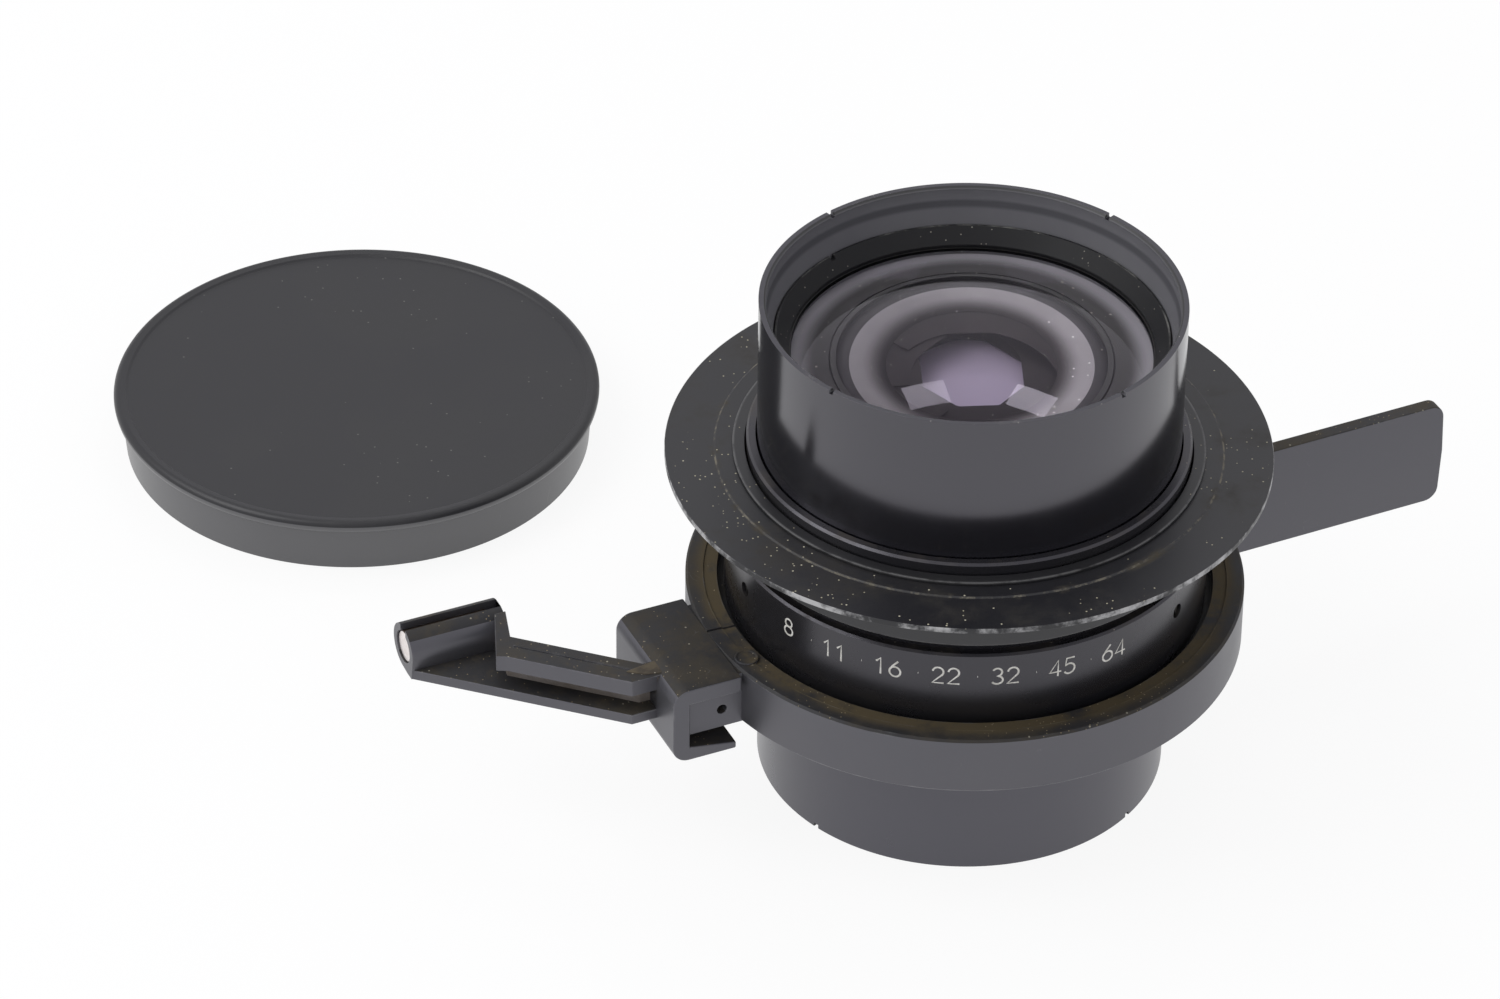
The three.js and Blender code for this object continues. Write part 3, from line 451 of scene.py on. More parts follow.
screw_steel = surface("oiled_steel", (0.12, 0.12, 0.125), 0.35, [
    mottled((0.05, 0.045, 0.04), 0.5, Scale=500, Spread=0.12)],
    tooth_depth=0.004, Metallic=0.9)
for name, turn in GRUB_TURNS.items():
    outer = GRUB_TIP + GRUB_LENGTH
    shank = combined(bar(GRUB_RADIUS, GRUB_TIP, outer, GRUB_HEIGHT, turn), [
        boxed((outer - GRUB_SLOT, outer + 2), (-GRUB_SLOT / 2, GRUB_SLOT / 2),
              (GRUB_HEIGHT - 3, GRUB_HEIGHT + 3), turn)])
    screw = soften(seated("screw_" + name.split("_")[-1], shank, "lens", "screw_steel",
                          screw_steel), 0.1, 2)
    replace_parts(screw, name)

# Adapter ring: a short thick ring of black anodised aluminium that slides over the neck and
# stands on the body's shoulder, under the flange.
NECK_CLEAR = 48.6
FLANGE_FOOT = 79.0

# Turned line: a ring on a turned piece at one radius and height, broken up along its length
turned_line, given, out = effect(
    "Turned line", "Mask", Radius=50, Reach=1, Height=0, Rise=500, Scale=150, Gaps=0.4)
flat = node(turned_line, "ShaderNodeSeparateXYZ", {0: place_on_piece(turned_line)}).outputs
spread = worked("SQRT", worked("ADD", worked("MULTIPLY", flat["X"], flat["X"]),
                               worked("MULTIPLY", flat["Y"], flat["Y"])))


def close_to(value, target, reach):
    """1 at the target and 0 from reach away, for sizes in millimetres."""
    away = worked("ABSOLUTE", worked("SUBTRACT", worked("DIVIDE", value, MM), target))
    return faded(away, reach, worked("MULTIPLY", reach, 0.25))


ring = worked("MULTIPLY", close_to(spread, given["Radius"], given["Reach"]),
              close_to(flat["Z"], given["Height"], given["Rise"]))
broken = faded(cloud(turned_line, given["Scale"], 8.0, 0.7), given["Gaps"],
               worked("ADD", given["Gaps"], 0.18))
turned_line.links.new(worked("MULTIPLY", ring, broken), out["Mask"])
lined = layer(turned_line)


def ring_piece(name, replaced, outline, slot, finish, width, sides=256):
    """A plain turned ring with broken edges, in place of one of the part's solids."""
    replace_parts(soften(seated(name, turned(outline, sides), "lens", slot, finish), width), replaced)


satin_black = surface("adapter_anodised", (0.026, 0.026, 0.029), 0.34, [
    mottled((0.032, 0.032, 0.034), 0.42, Scale=45, Spread=0.2),
    lined((0.1, 0.1, 0.1), 0.4, Radius=53.0, Reach=0.5, Height=66.2, Rise=0.5, Gaps=0.3),
    scuffed((0.07, 0.07, 0.072), 0.5, Scale=70, Cover=0.3, Width=0.012),
], tooth_depth=0.003)
ring_piece("adapter_turning", "adapter_ring", [
    (NECK_CLEAR, SHOULDER), (52.7, SHOULDER), (53.2, 66.4), (53.2, FLANGE_FOOT),
    (NECK_CLEAR, FLANGE_FOOT)], "body_black", satin_black, 0.15)

# Mounting flange: a thin wide disc that lies against the lens board, with a slightly raised
# middle. Its anodising is satin, worn bright along the edge, and dust lies at the step.
FLANGE_RADIUS = 66
FLANGE_STEP = 55.2
FLANGE_TOP = 80.6
WIDE_SIDES = 320
flange_black = surface("flange_anodised", (0.011, 0.011, 0.0135), 0.34, [
    mottled((0.015, 0.015, 0.017), 0.42, Scale=30, Spread=0.22),
    filmed((0.026, 0.023, 0.019), 0.7, Scale=45, Cover=0.36),
    lined((0.05, 0.042, 0.028), 0.85, Radius=FLANGE_STEP, Reach=1.5, Scale=110, Gaps=0.5),
    lined((0.16, 0.145, 0.11), 0.85, Radius=FLANGE_STEP, Reach=0.3, Scale=300, Gaps=0.46),
    specked((0.42, 0.39, 0.28), 0.8, Scale=900, Size=0.2, Amount=0.34, Groups=34),
    specked((0.5, 0.47, 0.36), 0.8, Scale=520, Size=0.13, Amount=0.45, Groups=20),
    scuffed((0.07, 0.07, 0.07), 0.5, Scale=50, Cover=0.32, Width=0.01),
    lined((0.4, 0.4, 0.4), 0.35, Radius=FLANGE_RADIUS, Reach=0.16, Scale=90, Gaps=0.42),
], tooth_depth=0.005)
ring_piece("flange_disc", "mounting_flange", [
    (NECK_CLEAR, FLANGE_FOOT), (FLANGE_RADIUS, FLANGE_FOOT), (FLANGE_RADIUS, 80.3), (55.3, 80.3),
    (55.0, FLANGE_TOP), (NECK_CLEAR, FLANGE_TOP)], "flange_black", flange_black, 0.15, WIDE_SIDES)

# Flange nut: a thin threaded ring of black anodised aluminium that clamps the flange on the
# neck. A pale line painted along its top edge stands for that edge's highlight.
nut_black = surface("nut_anodised", (0.012, 0.012, 0.014), 0.3, [
    mottled((0.018, 0.018, 0.019), 0.4, Scale=50, Spread=0.2),
    # Painted highlight: the pale line along the nut's top edge.
    lined((0.09, 0.09, 0.09), 0.4, Radius=51.2, Reach=0.5, Height=81.4, Rise=0.5, Gaps=0.33),
    specked((0.4, 0.36, 0.26), 0.8, Scale=900, Size=0.16, Amount=0.3),
])
ring_piece("nut_ring", "flange_nut", [
    (NECK_CLEAR, FLANGE_TOP), (51.3, FLANGE_TOP), (51.3, 81.4), (NECK_CLEAR, 81.4)],
    "flange_black", nut_black, 0.15)

# Front barrel: a glossy black anodised tube that screws into the neck and ends in a deep hood.
# The hood is satin inside, with spanner notches in its rim.
HOOD_TOP = 118.45
GLASS_TOP = 105.9
GLASS_FOOT = 102.75
CELL_TOP = 99.6
BARREL_OUTLINE = [
    (42.5, 64.0), (46.0, 64.0), (46.0, HOOD_TOP), (44.9, HOOD_TOP), (44.4, 117.85), (44.4, 114.55),
    (42.8, 110.25), (42.8, GLASS_TOP), (41.3, GLASS_TOP), (41.3, GLASS_FOOT), (38.6, GLASS_FOOT),
    (38.6, CELL_TOP), (42.5, CELL_TOP)]
BARREL_INSIDE = 45.4
HOOD_FLOOR = 80
HOOD_NOTCHES = (134.5, 50.5, -45.7, -129.5)
RIM_LEVEL = 0.8
NOTCH_HALF = 0.6
NOTCH_DEPTH = 0.9


def notches(turns, inner, outer, height):
    return [boxed((inner, outer), (-NOTCH_HALF, NOTCH_HALF),
                  (height - NOTCH_DEPTH, height + NOTCH_DEPTH), turn) for turn in turns]


gloss_black = surface("barrel_anodised", (0.0035, 0.0035, 0.005), 0.13, [
    mottled((0.005, 0.005, 0.0065), 0.17, Scale=25, Spread=0.25),
    scuffed((0.03, 0.03, 0.032), 0.3, Scale=40, Cover=0.3, Width=0.008),
    lined((0.035, 0.032, 0.028), 0.4, Radius=BARREL_INSIDE, Reach=0.9, Height=HOOD_TOP, Rise=0.5,
          Scale=60, Gaps=0.54),
    specked((0.4, 0.38, 0.33), 0.8, Scale=1100, Size=0.15, Amount=0.2),
], tooth_depth=0.0006, IOR=1.9, Specular_Tint=COOL)
hood_black = surface("hood_anodised", (0.125, 0.124, 0.136), 0.42, [
    mottled((0.14, 0.14, 0.15), 0.5, Scale=30, Spread=0.2),
    lined((0.07, 0.07, 0.078), 0.5, Radius=44.2, Reach=0.8, Height=114.3, Rise=1.3, Scale=60,
          Gaps=0.0),
    lined((0.035, 0.035, 0.035), 0.5, Radius=44.9, Reach=0.7, Height=118.2, Rise=0.8, Scale=60,
          Gaps=0.0),
    scuffed((0.11, 0.11, 0.11), 0.5, Scale=60, Cover=0.33, Width=0.012),
], tooth_depth=0.005)
barrel_mesh = combined(turned(BARREL_OUTLINE, WIDE_SIDES),
                       notches(HOOD_NOTCHES, 42.4, 48, HOOD_TOP))
front_barrel = soften(seated("barrel_tube", barrel_mesh, "lens", "barrel_gloss", gloss_black,
                             hood_black), 0.12)
for face in barrel_mesh.polygons:
    inward = face.center.xy.length < BARREL_INSIDE * MM and face.normal.z < RIM_LEVEL
    face.material_index = int(inward and face.center.z > HOOD_FLOOR * MM)
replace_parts(front_barrel, "front_barrel")

# Front glass and its ring: a strongly curved lens with a faint violet coating, held down by a
# matt black ring with a funnel-shaped face that screws into the hood.
GLASS_RADIUS = 41
GLASS_CLEAR = 39
GLASS_RISE = 6.4
LEVEL_WITHIN = 0.001
RING_TOP = 109.95
RING_NOTCHES = (138, -42)
CROWN_STEPS = 28


def crowned(radius, clear, foot, top, rise_up=0, rise_down=0):
    """A turned lens: a cylinder edge with a crown above or below."""
    shares = [step / CROWN_STEPS for step in range(CROWN_STEPS + 1)]
    above = [(clear * share, top + rise_up * (1 - share * share)) for share in shares]
    below = [(clear * share, foot - rise_down * (1 - share * share)) for share in shares]
    return turned([*(above if rise_up else above[:1]), (radius, top), (radius, foot),
                   *reversed(below if rise_down else below[:1])], 160)


def lens_piece(name, replaced, mesh, *finishes):
    """A lens whose level faces stay truly flat, so that only its crown bends the light."""
    piece = seated(name, mesh, "lens", "coated_glass", *finishes)
    for face in mesh.polygons:
        heights = [mesh.vertices[corner].co.z for corner in face.vertices]
        face.use_smooth = max(heights) - min(heights) > LEVEL_WITHIN * MM
    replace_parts(piece, replaced)


def coated(name, tint, roughness, gleam, milk=0.0, density=1.5):
    """Coated glass that lets light through to what lies behind it, and gleams in one colour."""
    finish = surface(name, tint, roughness, [
        mottled(tuple(0.94 * part for part in tint), roughness + 0.01, Scale=22, Spread=0.3)],
        tooth_depth=0.0, Transmission_Weight=1.0 - milk, IOR=density, Specular_Tint=(*gleam, 1))
    tree = finish.node_tree
    through = node(tree, "ShaderNodeBsdfTransparent", {"Color": (*tint, 1)})
    blend = node(tree, "ShaderNodeMixShader", {
        0: node(tree, "ShaderNodeLightPath").outputs["Is Shadow Ray"],
        1: tree.nodes["Principled BSDF"].outputs[0], 2: through.outputs[0]})
    feed(tree.nodes["Material Output"], {"Surface": blend.outputs[0]})
    return finish


matt_black = surface("ring_matt", (0.006, 0.006, 0.0075), 0.5, [
    mottled((0.01, 0.01, 0.011), 0.58, Scale=60, Spread=0.2),
    lined((0.14, 0.14, 0.13), 0.4, Radius=42.2, Reach=0.3, Height=RING_TOP, Rise=0.4, Scale=80,
          Gaps=0.46),
    specked((0.35, 0.33, 0.28), 0.8, Scale=900, Size=0.16, Amount=0.3),
], Specular_IOR_Level=0.3)
ring_mesh = combined(turned([
    (39.3, GLASS_TOP), (42.5, GLASS_TOP), (42.5, RING_TOP), (42.0, RING_TOP), (39.3, 106.65)]),
    notches(RING_NOTCHES, 40.5, 44.5, RING_TOP))
front_ring = soften(seated("glass_ring", ring_mesh, "lens", "inner_matt", matt_black), 0.1)
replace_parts(front_ring, "front_retaining_ring")
front_coated = coated("coated_front", (0.93, 0.92, 0.95), 0.0, (0.36, 0.31, 0.41))
inner_coated = coated("coated_inner", (0.96, 0.95, 0.97), 0.0, (0.3, 0.25, 0.35), density=1.17)
edge_paint = surface("glass_edge_paint", (0.008, 0.008, 0.009), 0.5, [
    mottled((0.014, 0.013, 0.013), 0.6, Scale=80, Spread=0.2)])
glass_mesh = crowned(GLASS_RADIUS, GLASS_CLEAR, GLASS_FOOT, GLASS_TOP, GLASS_RISE)
lens_piece("glass_front", "front_glass", glass_mesh, front_coated, inner_coated, edge_paint)
for face in glass_mesh.polygons:
    flat_back = face.normal.z < -0.5
    face.material_index = 1 if flat_back else 2 * (face.center.xy.length > GLASS_CLEAR * MM)

# Dust on the front glass: loose pale grains of lint, about a quarter of a millimetre across,
# that lie where they fell. A few are short threads.
GRAINS = 90
GRAIN_SEED = 7
GRAIN_HALVES = (0.05, 0.14)
GRAIN_LENGTHS = (1, 1, 1.3, 2.4)
scatter = random.Random(GRAIN_SEED)
bm = bmesh.new()
for grain in range(GRAINS):
    turn, reach = scatter.uniform(0, tau), GLASS_CLEAR * sqrt(scatter.uniform(0, 0.9))
    height = GLASS_TOP + GLASS_RISE * (1 - (reach / GLASS_CLEAR) ** 2) + 0.02
    size = scatter.uniform(*GRAIN_HALVES)
    long = size * scatter.choice(GRAIN_LENGTHS)
    lie = (Matrix.Translation(Vector((reach * cos(turn), reach * sin(turn), height)) * MM)
           @ Matrix.Rotation(scatter.uniform(0, pi), 4, "Z")
           @ Matrix.Diagonal((long * MM, size * MM, 0.4 * size * MM, 1)))
    bmesh.ops.create_icosphere(bm, subdivisions=1, radius=1, matrix=lie)
lint = surface("lint", (0.5, 0.49, 0.45), 0.9, [
    mottled((0.34, 0.32, 0.28), 0.9, Scale=400, Spread=0.2)])
seated("glass_dust", mesh_from(bm), "lens", "coated_glass", lint)

# Front cell: a matt black funnel behind the front glass that carries a smaller glass, with a pale
# band painted towards its rim as a reflection of the sky. A thin black ring screws that glass down.
cell_black = surface("cell_matt", (0.045, 0.043, 0.043), 0.6, [
    mottled((0.035, 0.033, 0.032), 0.65, Scale=20, Spread=0.25),
    specked((0.3, 0.28, 0.24), 0.8, Scale=500, Size=0.18, Amount=0.3),
    # Painted reflection: this pale band towards the rim stands for the sky reflected in the funnel.
    lined((0.36, 0.35, 0.365), 0.6, Radius=38.8, Reach=6.5, Scale=8, Gaps=0.0),
])
ring_piece("cell_funnel", "front_cell", [
    (27.8, 96.5), (42.2, 96.5), (42.2, CELL_TOP), (38.6, CELL_TOP), (29.4, 98.9), (29.4, 97.2),
    (27.8, 97.2)], "inner_matt", cell_black, 0.08)
cell_ring_black = surface("cell_ring_satin", (0.04, 0.039, 0.038), 0.5, [
    mottled((0.028, 0.027, 0.026), 0.55, Scale=80, Spread=0.2)])
ring_piece("cell_ring", "inner_retaining_ring", [
    (27.8, 98.1), (29.1, 98.1), (29.1, 98.9), (27.8, 98.9)], "inner_matt", cell_ring_black, 0.15)
lens_piece("glass_inner", "inner_glass", crowned(29.1, 27.5, 97.2, 98.1, rise_up=0.9),
           inner_coated)

# Baffle: a thin bare funnel of turned aluminium below the smaller glass, just above the iris,
# with a blackened outer rim. It shows through the front glass as a pale crescent.
BAFFLE_EDGE = 24.7
baffle_grey = surface("baffle_aluminium", (0.46, 0.445, 0.435), 0.55, [
    mottled((0.36, 0.348, 0.34), 0.6, Scale=40, Spread=0.25),
    lined((0.05, 0.045, 0.043), 0.7, Radius=15.5, Reach=6.8, Scale=20, Gaps=0.0),
    specked((0.9, 0.88, 0.84), 0.8, Scale=600, Size=0.2, Amount=0.3)],
    Specular_IOR_Level=0.1)
baffle_mesh = turned([
    (27.7, 96.45), (27.7, 96.1), (17.0, 94.85), (17.0, 95.0), (24.5, 96.3), (BAFFLE_EDGE, 96.45)])
seated("cell_baffle", baffle_mesh, "lens", "inner_matt", baffle_grey, cell_black)
for face in baffle_mesh.polygons:
    face.material_index = int(face.center.xy.length > BAFFLE_EDGE * MM or face.normal.z < 0)

# Iris: eight leaves of blued spring steel on pivots in a base plate, with a straight stretch in
# each inner edge, so that the opening is eight-sided. Each one's drive pin stands in a slot of
# the brass cam plate above, which the long sleeve turns.
BLADE_COUNT = 8
PIVOT_RADIUS = 33
LEAF_INNER = 17.4
LEAF_OUTER = 31.4
LEAF_START = -5
LEAF_END = 128
FLAT_START = 69.5
FLAT_END = 98.5
REST_CLOSURE = 12
BLADE_THICK = 0.2
BLADE_PITCH = 0.5
TOP_BLADE = 94.5
PLATE_BOTTOM = 89.5
CAM_TOP = 96.2
PIN_RADIUS = 0.7
LUG_RADIUS = 1.9
LUG_INSET = 0.01
PIN_INSET = 0.02
DRIVE_PIN = Vector((2.8, -7.6))


def prism(outline, low, high, upright=False):
    """An outline in plan raised between two heights, or an upright one pushed sideways."""
    bm = bmesh.new()
    rings = []
    for end in (low, high):
        places = [(x, end, y) if upright else (x, y, end) for x, y in outline]
        rings.append([bm.verts.new(Vector(place) * MM) for place in places])
    for ring in rings:
        bm.faces.new(ring)
    for step in range(len(outline)):
        after = (step + 1) % len(outline)
        bm.faces.new((rings[0][step], rings[0][after], rings[1][after], rings[1][step]))
    return mesh_from(bm)


def along(turn, length):
    """A step in plan in the direction of a turn."""
    return Vector((cos(radians(turn)), sin(radians(turn)))) * length


def pin(low, high):
    return turned([(0, low), (PIN_RADIUS, low), (PIN_RADIUS, high), (0, high)], 24)


blued_steel = surface("blued_steel", (0.02, 0.017, 0.016), 0.45, [
    mottled((0.032, 0.027, 0.025), 0.5, Scale=70, Spread=0.25),
    scuffed((0.09, 0.08, 0.07), 0.45, Scale=90, Cover=0.42, Width=0.02),
], tooth_scale=1500, tooth_depth=0.003, Metallic=0.6)
for blade in range(BLADE_COUNT):
    sheet_low = TOP_BLADE - blade * BLADE_PITCH
    sheet_high = sheet_low + BLADE_THICK
    swing = Matrix.Rotation(radians(REST_CLOSURE), 2)
    leaf = [swing @ (Vector(point) - Vector((PIVOT_RADIUS, 0)))
            for point in arc(0, 0, LEAF_OUTER, LEAF_OUTER, LEAF_START, LEAF_END, 72)
            + arc(0, 0, LEAF_INNER, LEAF_INNER, LEAF_END, FLAT_END, 16)
            + arc(0, 0, LEAF_INNER, LEAF_INNER, FLAT_START, LEAF_START, 40)]
    around = [Vector(point) for centre in ((0, 0), tuple(DRIVE_PIN))
              for point in arc(*centre, LUG_RADIUS, LUG_RADIUS, 0, 345, 23)]
    lug = [around[index] for index in convex_hull_2d(around)]
    drive = pin(sheet_low + PIN_INSET, CAM_TOP)
    drive.transform(Matrix.Translation(DRIVE_PIN.to_3d() * MM))
    bm = bmesh.new()
    for mesh in (prism(leaf, sheet_low, sheet_high),
                 prism(lug, sheet_low + LUG_INSET, sheet_high - LUG_INSET),
                 pin(PLATE_BOTTOM, sheet_high - PIN_INSET), drive):
        bm.from_mesh(mesh)
    mesh = bpy.data.meshes.new("leaf")
    bm.to_mesh(mesh)
    bm.free()
    turn = blade * 360 / BLADE_COUNT
    leaf_piece = placed(f"iris_leaf_{blade + 1}", mesh)
    leaf_piece.rotation_euler.z = radians(turn)
    leaf_piece.location = lens_axis + along(turn, 1).to_3d() * PIVOT_RADIUS * MM
    mesh.materials.append(blued_steel)
    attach(leaf_piece, f"blade_{blade + 1}")
    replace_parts(leaf_piece, f"iris_blade_{blade + 1}")
ring_piece("iris_plate", "iris_base_plate", [
    (12.3, PLATE_BOTTOM), (40.6, PLATE_BOTTOM), (40.6, 90.7), (12.3, 90.7)],
    "inner_matt", matt_black, 0.08)

# Cam sleeve and drive screw: a long thin brass sleeve with the slotted cam plate at its top,
# turned from outside by a slotted steel screw through the lever ring at the back.
DRIVE_TURN = 90
DRIVE_HEIGHT = 38.65
DRIVE_TIP = 40.9
DRIVE_HEAD = 60.9
DRIVE_HEAD_THICK = 2
DRIVE_HEAD_RADIUS = 2.8
DRIVE_SHANK_RADIUS = 1.5
DRIVE_SLOT_DEPTH = 0.8
DRIVE_SLOT_HALF = 0.4
cam_brass = surface("cam_brass", (0.38, 0.29, 0.13), 0.38, [
    mottled((0.28, 0.2, 0.08), 0.5, Scale=60, Spread=0.2),
    lined((0.45, 0.36, 0.18), 0.3, Radius=36, Reach=6, Scale=300, Gaps=0.5),
], Metallic=1.0)
cam_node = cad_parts["iris_cam_sleeve"]
cam_node.data.materials.clear()
cam_node.data.materials.append(cam_brass)
drive_mesh = combined(
    bar(DRIVE_SHANK_RADIUS, DRIVE_TIP, DRIVE_HEAD, DRIVE_HEIGHT, DRIVE_TURN),
    [bar(DRIVE_HEAD_RADIUS, DRIVE_HEAD - DRIVE_HEAD_THICK, DRIVE_HEAD, DRIVE_HEIGHT, DRIVE_TURN)],
    "UNION")
drive_mesh = combined(drive_mesh, [
    boxed((DRIVE_HEAD - DRIVE_SLOT_DEPTH, DRIVE_HEAD + 2), (-DRIVE_SLOT_HALF, DRIVE_SLOT_HALF),
          (DRIVE_HEIGHT - 4, DRIVE_HEIGHT + 4), DRIVE_TURN)])
drive_screw = soften(seated("screw_drive", drive_mesh, "lever", "screw_steel", screw_steel), 0.12)
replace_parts(drive_screw, "drive_screw")

# Rear barrel: the tube that the lens stands on, anodised a bluish black, with spanner notches
# in its foot. A thinner tube inside it reaches up to the iris.
REAR_NOTCHES = (-132.9, -33.8, 47.1, 146.2)
REAR_INSIDE = 44.3
rear_blue_black = surface("rear_anodised", (0.024, 0.025, 0.032), 0.27, [
    mottled((0.03, 0.03, 0.037), 0.33, Scale=30, Spread=0.22),
    specked((0.3, 0.3, 0.28), 0.8, Scale=800, Size=0.14, Amount=0.2),
    scuffed((0.08, 0.08, 0.085), 0.4, Scale=45, Cover=0.3, Width=0.008),
], tooth_depth=0.003, IOR=1.85, Specular_Tint=COOL)
rear_mesh = combined(turned([
    (43.5, 0), (45.1, 0), (45.1, 36.0), (40.6, 36.0), (40.6, PLATE_BOTTOM), (36.5, PLATE_BOTTOM),
    (36.5, 84.5), (34.0, 84.5), (34.0, 83.0), (38.0, 80.4), (38.0, 13.0), (40.3, 13.0),
    (40.3, 10.0), (42.2, 10.0), (42.2, 4.5), (43.5, 4.0)]), notches(REAR_NOTCHES, 41.5, 47.1, 0))
rear_barrel = soften(seated("rear_tube", rear_mesh, "lens", "rear_black", rear_blue_black,
                            matt_black), 0.12)
for face in rear_mesh.polygons:
    inward = face.center.xy.length < REAR_INSIDE * MM
    face.material_index = int(inward and face.normal.z > -RIM_LEVEL)
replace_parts(rear_barrel, "rear_barrel")

# Rear glasses: the relay glass just under the iris has a strong lilac coating, with a milky lilac
# body painted in as the coating's reflection. The rear glass lies deep in the rear barrel. Matt
# black rings screw them down.
ring_piece("rear_ring", "rear_retaining_ring", [
    (38.5, 10.0), (41.9, 10.0), (41.9, 6.6), (41.4, 6.6), (38.5, 9.25)],
    "inner_matt", matt_black, 0.1)
ring_piece("relay_ring", "relay_retaining_ring", [
    (33.5, 86.5), (36.2, 86.5), (36.2, 88.1), (33.5, 88.1)], "inner_matt", matt_black, 0.1)
# Painted reflection: the relay glass's milky lilac body stands for the coating's reflection of the
# light.
relay_coated_painted_reflection = coated("coated_relay_painted_reflection", (0.52, 0.46, 0.56), 0.1, (0.6, 0.5, 0.8), 0.85)
lens_piece("glass_relay", "relay_glass", crowned(36.2, 33.2, 84.5, 86.5, rise_up=2.2),
           relay_coated_painted_reflection)
rear_coated = coated("coated_rear", (0.93, 0.93, 0.95), 0.0, (0.6, 0.56, 0.7))
lens_piece("glass_rear", "rear_glass", crowned(40.0, 38.2, 10.0, 13.0, rise_down=4.6),
           rear_coated)

# Keeper ring: a flat ring of black anodised aluminium, screwed to the body's foot. The lever
# ring slides on it.
ring_piece("keeper_disc", "keeper_ring", [
    (50.8, 31.2), (55.0, 31.2), (55.5, 31.7), (55.5, 33.2), (50.8, 33.2)],
    "body_black", satin_black, 0.12)

# Lever ring: the round part of a black plastic moulding that turns on the body, with an index
# mark and a small boss on top. Grease from its bearing has dried with dust in its shallow band.
LEVER_RADIUS = 61.3
LEVER_TOP = 47.0
LEVER_BOTTOM = 33.3
MARK_TURN = -155.3
MARK_HALF = 0.35
SCREW_HOLE_RADIUS = 1.8
SCREW_SINK_RADIUS = 3.1
BOSS_TURN = -143.3
BOSS_PLACE = 57.8
TOP_FROM = 0.7

# Worn edge: rubbed paler along the moulding's sharp edges, broken up along its length
worn_edge, given, out = effect("Worn edge", "Mask", Width=0.5, Scale=300, Gaps=0.42)
rounded = node(worn_edge, "ShaderNodeBevel", {
    "Radius": worked("MULTIPLY", given["Width"], MM)}, samples=4).outputs[0]
true_normal = node(worn_edge, "ShaderNodeNewGeometry").outputs["Normal"]
agree = node(worn_edge, "ShaderNodeVectorMath", {0: rounded, 1: true_normal},
             operation="DOT_PRODUCT").outputs["Value"]
sharp = faded(agree, 0.995, 0.93)
rubbed = faded(cloud(worn_edge, given["Scale"], 6.0, 0.7), given["Gaps"],
               worked("ADD", given["Gaps"], 0.2))
worn_edge.links.new(worked("MULTIPLY", sharp, rubbed), out["Mask"])
worn = layer(worn_edge)
# Painted shade: the tops get a darker, less glossy copy of the moulding for the shade that falls on
# them; the grease band, dust and grime on them are real.
soiled_and_shaded = surface("lever_soiled_top", (0.021, 0.021, 0.023), 0.5, [
    mottled((0.03, 0.03, 0.032), 0.55, Scale=40, Spread=0.22),
    filmed((0.05, 0.043, 0.032), 0.75, Scale=55, Cover=0.45),
    specked((0.3, 0.28, 0.22), 0.85, Scale=620, Size=0.17, Amount=0.35, Groups=40),
    scuffed((0.1, 0.1, 0.105), 0.6, Scale=55, Cover=0.4, Width=0.014),
    lined((0.085, 0.066, 0.036), 0.85, Radius=56.0, Reach=4.2, Height=46.8, Rise=1.6, Scale=60,
          Gaps=0.36),
    filmed((0.07, 0.057, 0.039), 0.8, Scale=260, Cover=0.32),
    specked((0.3, 0.24, 0.15), 0.85, Scale=1300, Size=0.2, Amount=0.4, Groups=45),
    lined((0.11, 0.09, 0.055), 0.8, Radius=57.4, Reach=0.35, Height=47, Rise=0.8, Scale=90,
          Gaps=0.45),
    worn((0.1, 0.1, 0.1), 0.5, Width=0.5, Scale=120, Gaps=0.48),
], tooth_scale=2500, tooth_depth=0.012, IOR=1.36)
moulded = surface("lever_moulding", (0.044, 0.045, 0.05), 0.36, [
    mottled((0.052, 0.052, 0.056), 0.42, Scale=40, Spread=0.22),
    lined((0.24, 0.24, 0.24), 0.6, Radius=61.2, Reach=0.4, Height=33.5, Rise=0.5, Scale=60,
          Gaps=0.42),
    scuffed((0.12, 0.12, 0.125), 0.5, Scale=55, Cover=0.4, Width=0.014),
    worn((0.15, 0.15, 0.15), 0.5, Width=0.5, Scale=120, Gaps=0.46),
], tooth_scale=2500, tooth_depth=0.012, IOR=1.8, Specular_Tint=COOL)


def moulded_piece(name, mesh, width, turn=0):
    """A stretch of the moulding, clean on its sides, and soiled and painted darker for shade on top.
    """
    piece = seated(name, mesh, "lever", "lever_plastic", moulded, soiled_and_shaded, turn=turn)
    for face in mesh.polygons:
        face.material_index = int(face.normal.z > TOP_FROM)
    return soften(piece, width)


past_rim = LEVER_RADIUS + 2
lever_mesh = combined(turned([
    (52.1, LEVER_BOTTOM), (60.8, LEVER_BOTTOM), (LEVER_RADIUS, 33.8), (LEVER_RADIUS, 46.5),
    (60.8, LEVER_TOP), (57.4, LEVER_TOP), (57.4, 46.7), (54.4, 46.7), (54.4, 44.0),
    (52.1, 44.0)], WIDE_SIDES), [
    boxed((52.4, past_rim), (-MARK_HALF, MARK_HALF), (46.3, 49), MARK_TURN),
    bar(SCREW_HOLE_RADIUS, 50, past_rim, DRIVE_HEIGHT, DRIVE_TURN),
    bar(SCREW_SINK_RADIUS, 58.6, past_rim, DRIVE_HEIGHT, DRIVE_TURN)])
lever_ring = moulded_piece("lever_band", lever_mesh, 0.14)
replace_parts(lever_ring, "lever_ring")
boss_mesh = turned([(0, 46.3), (2.6, 46.3), (2.6, 47.35), (2.2, 47.35), (2.0, 47.2), (0, 47.2)],
                   64)
spin = Matrix.Rotation(radians(BOSS_TURN), 4, "Z")
boss_mesh.transform(spin @ Matrix.Translation((BOSS_PLACE * MM, 0, 0)))
moulded_piece("lever_boss", boss_mesh, 0.12)

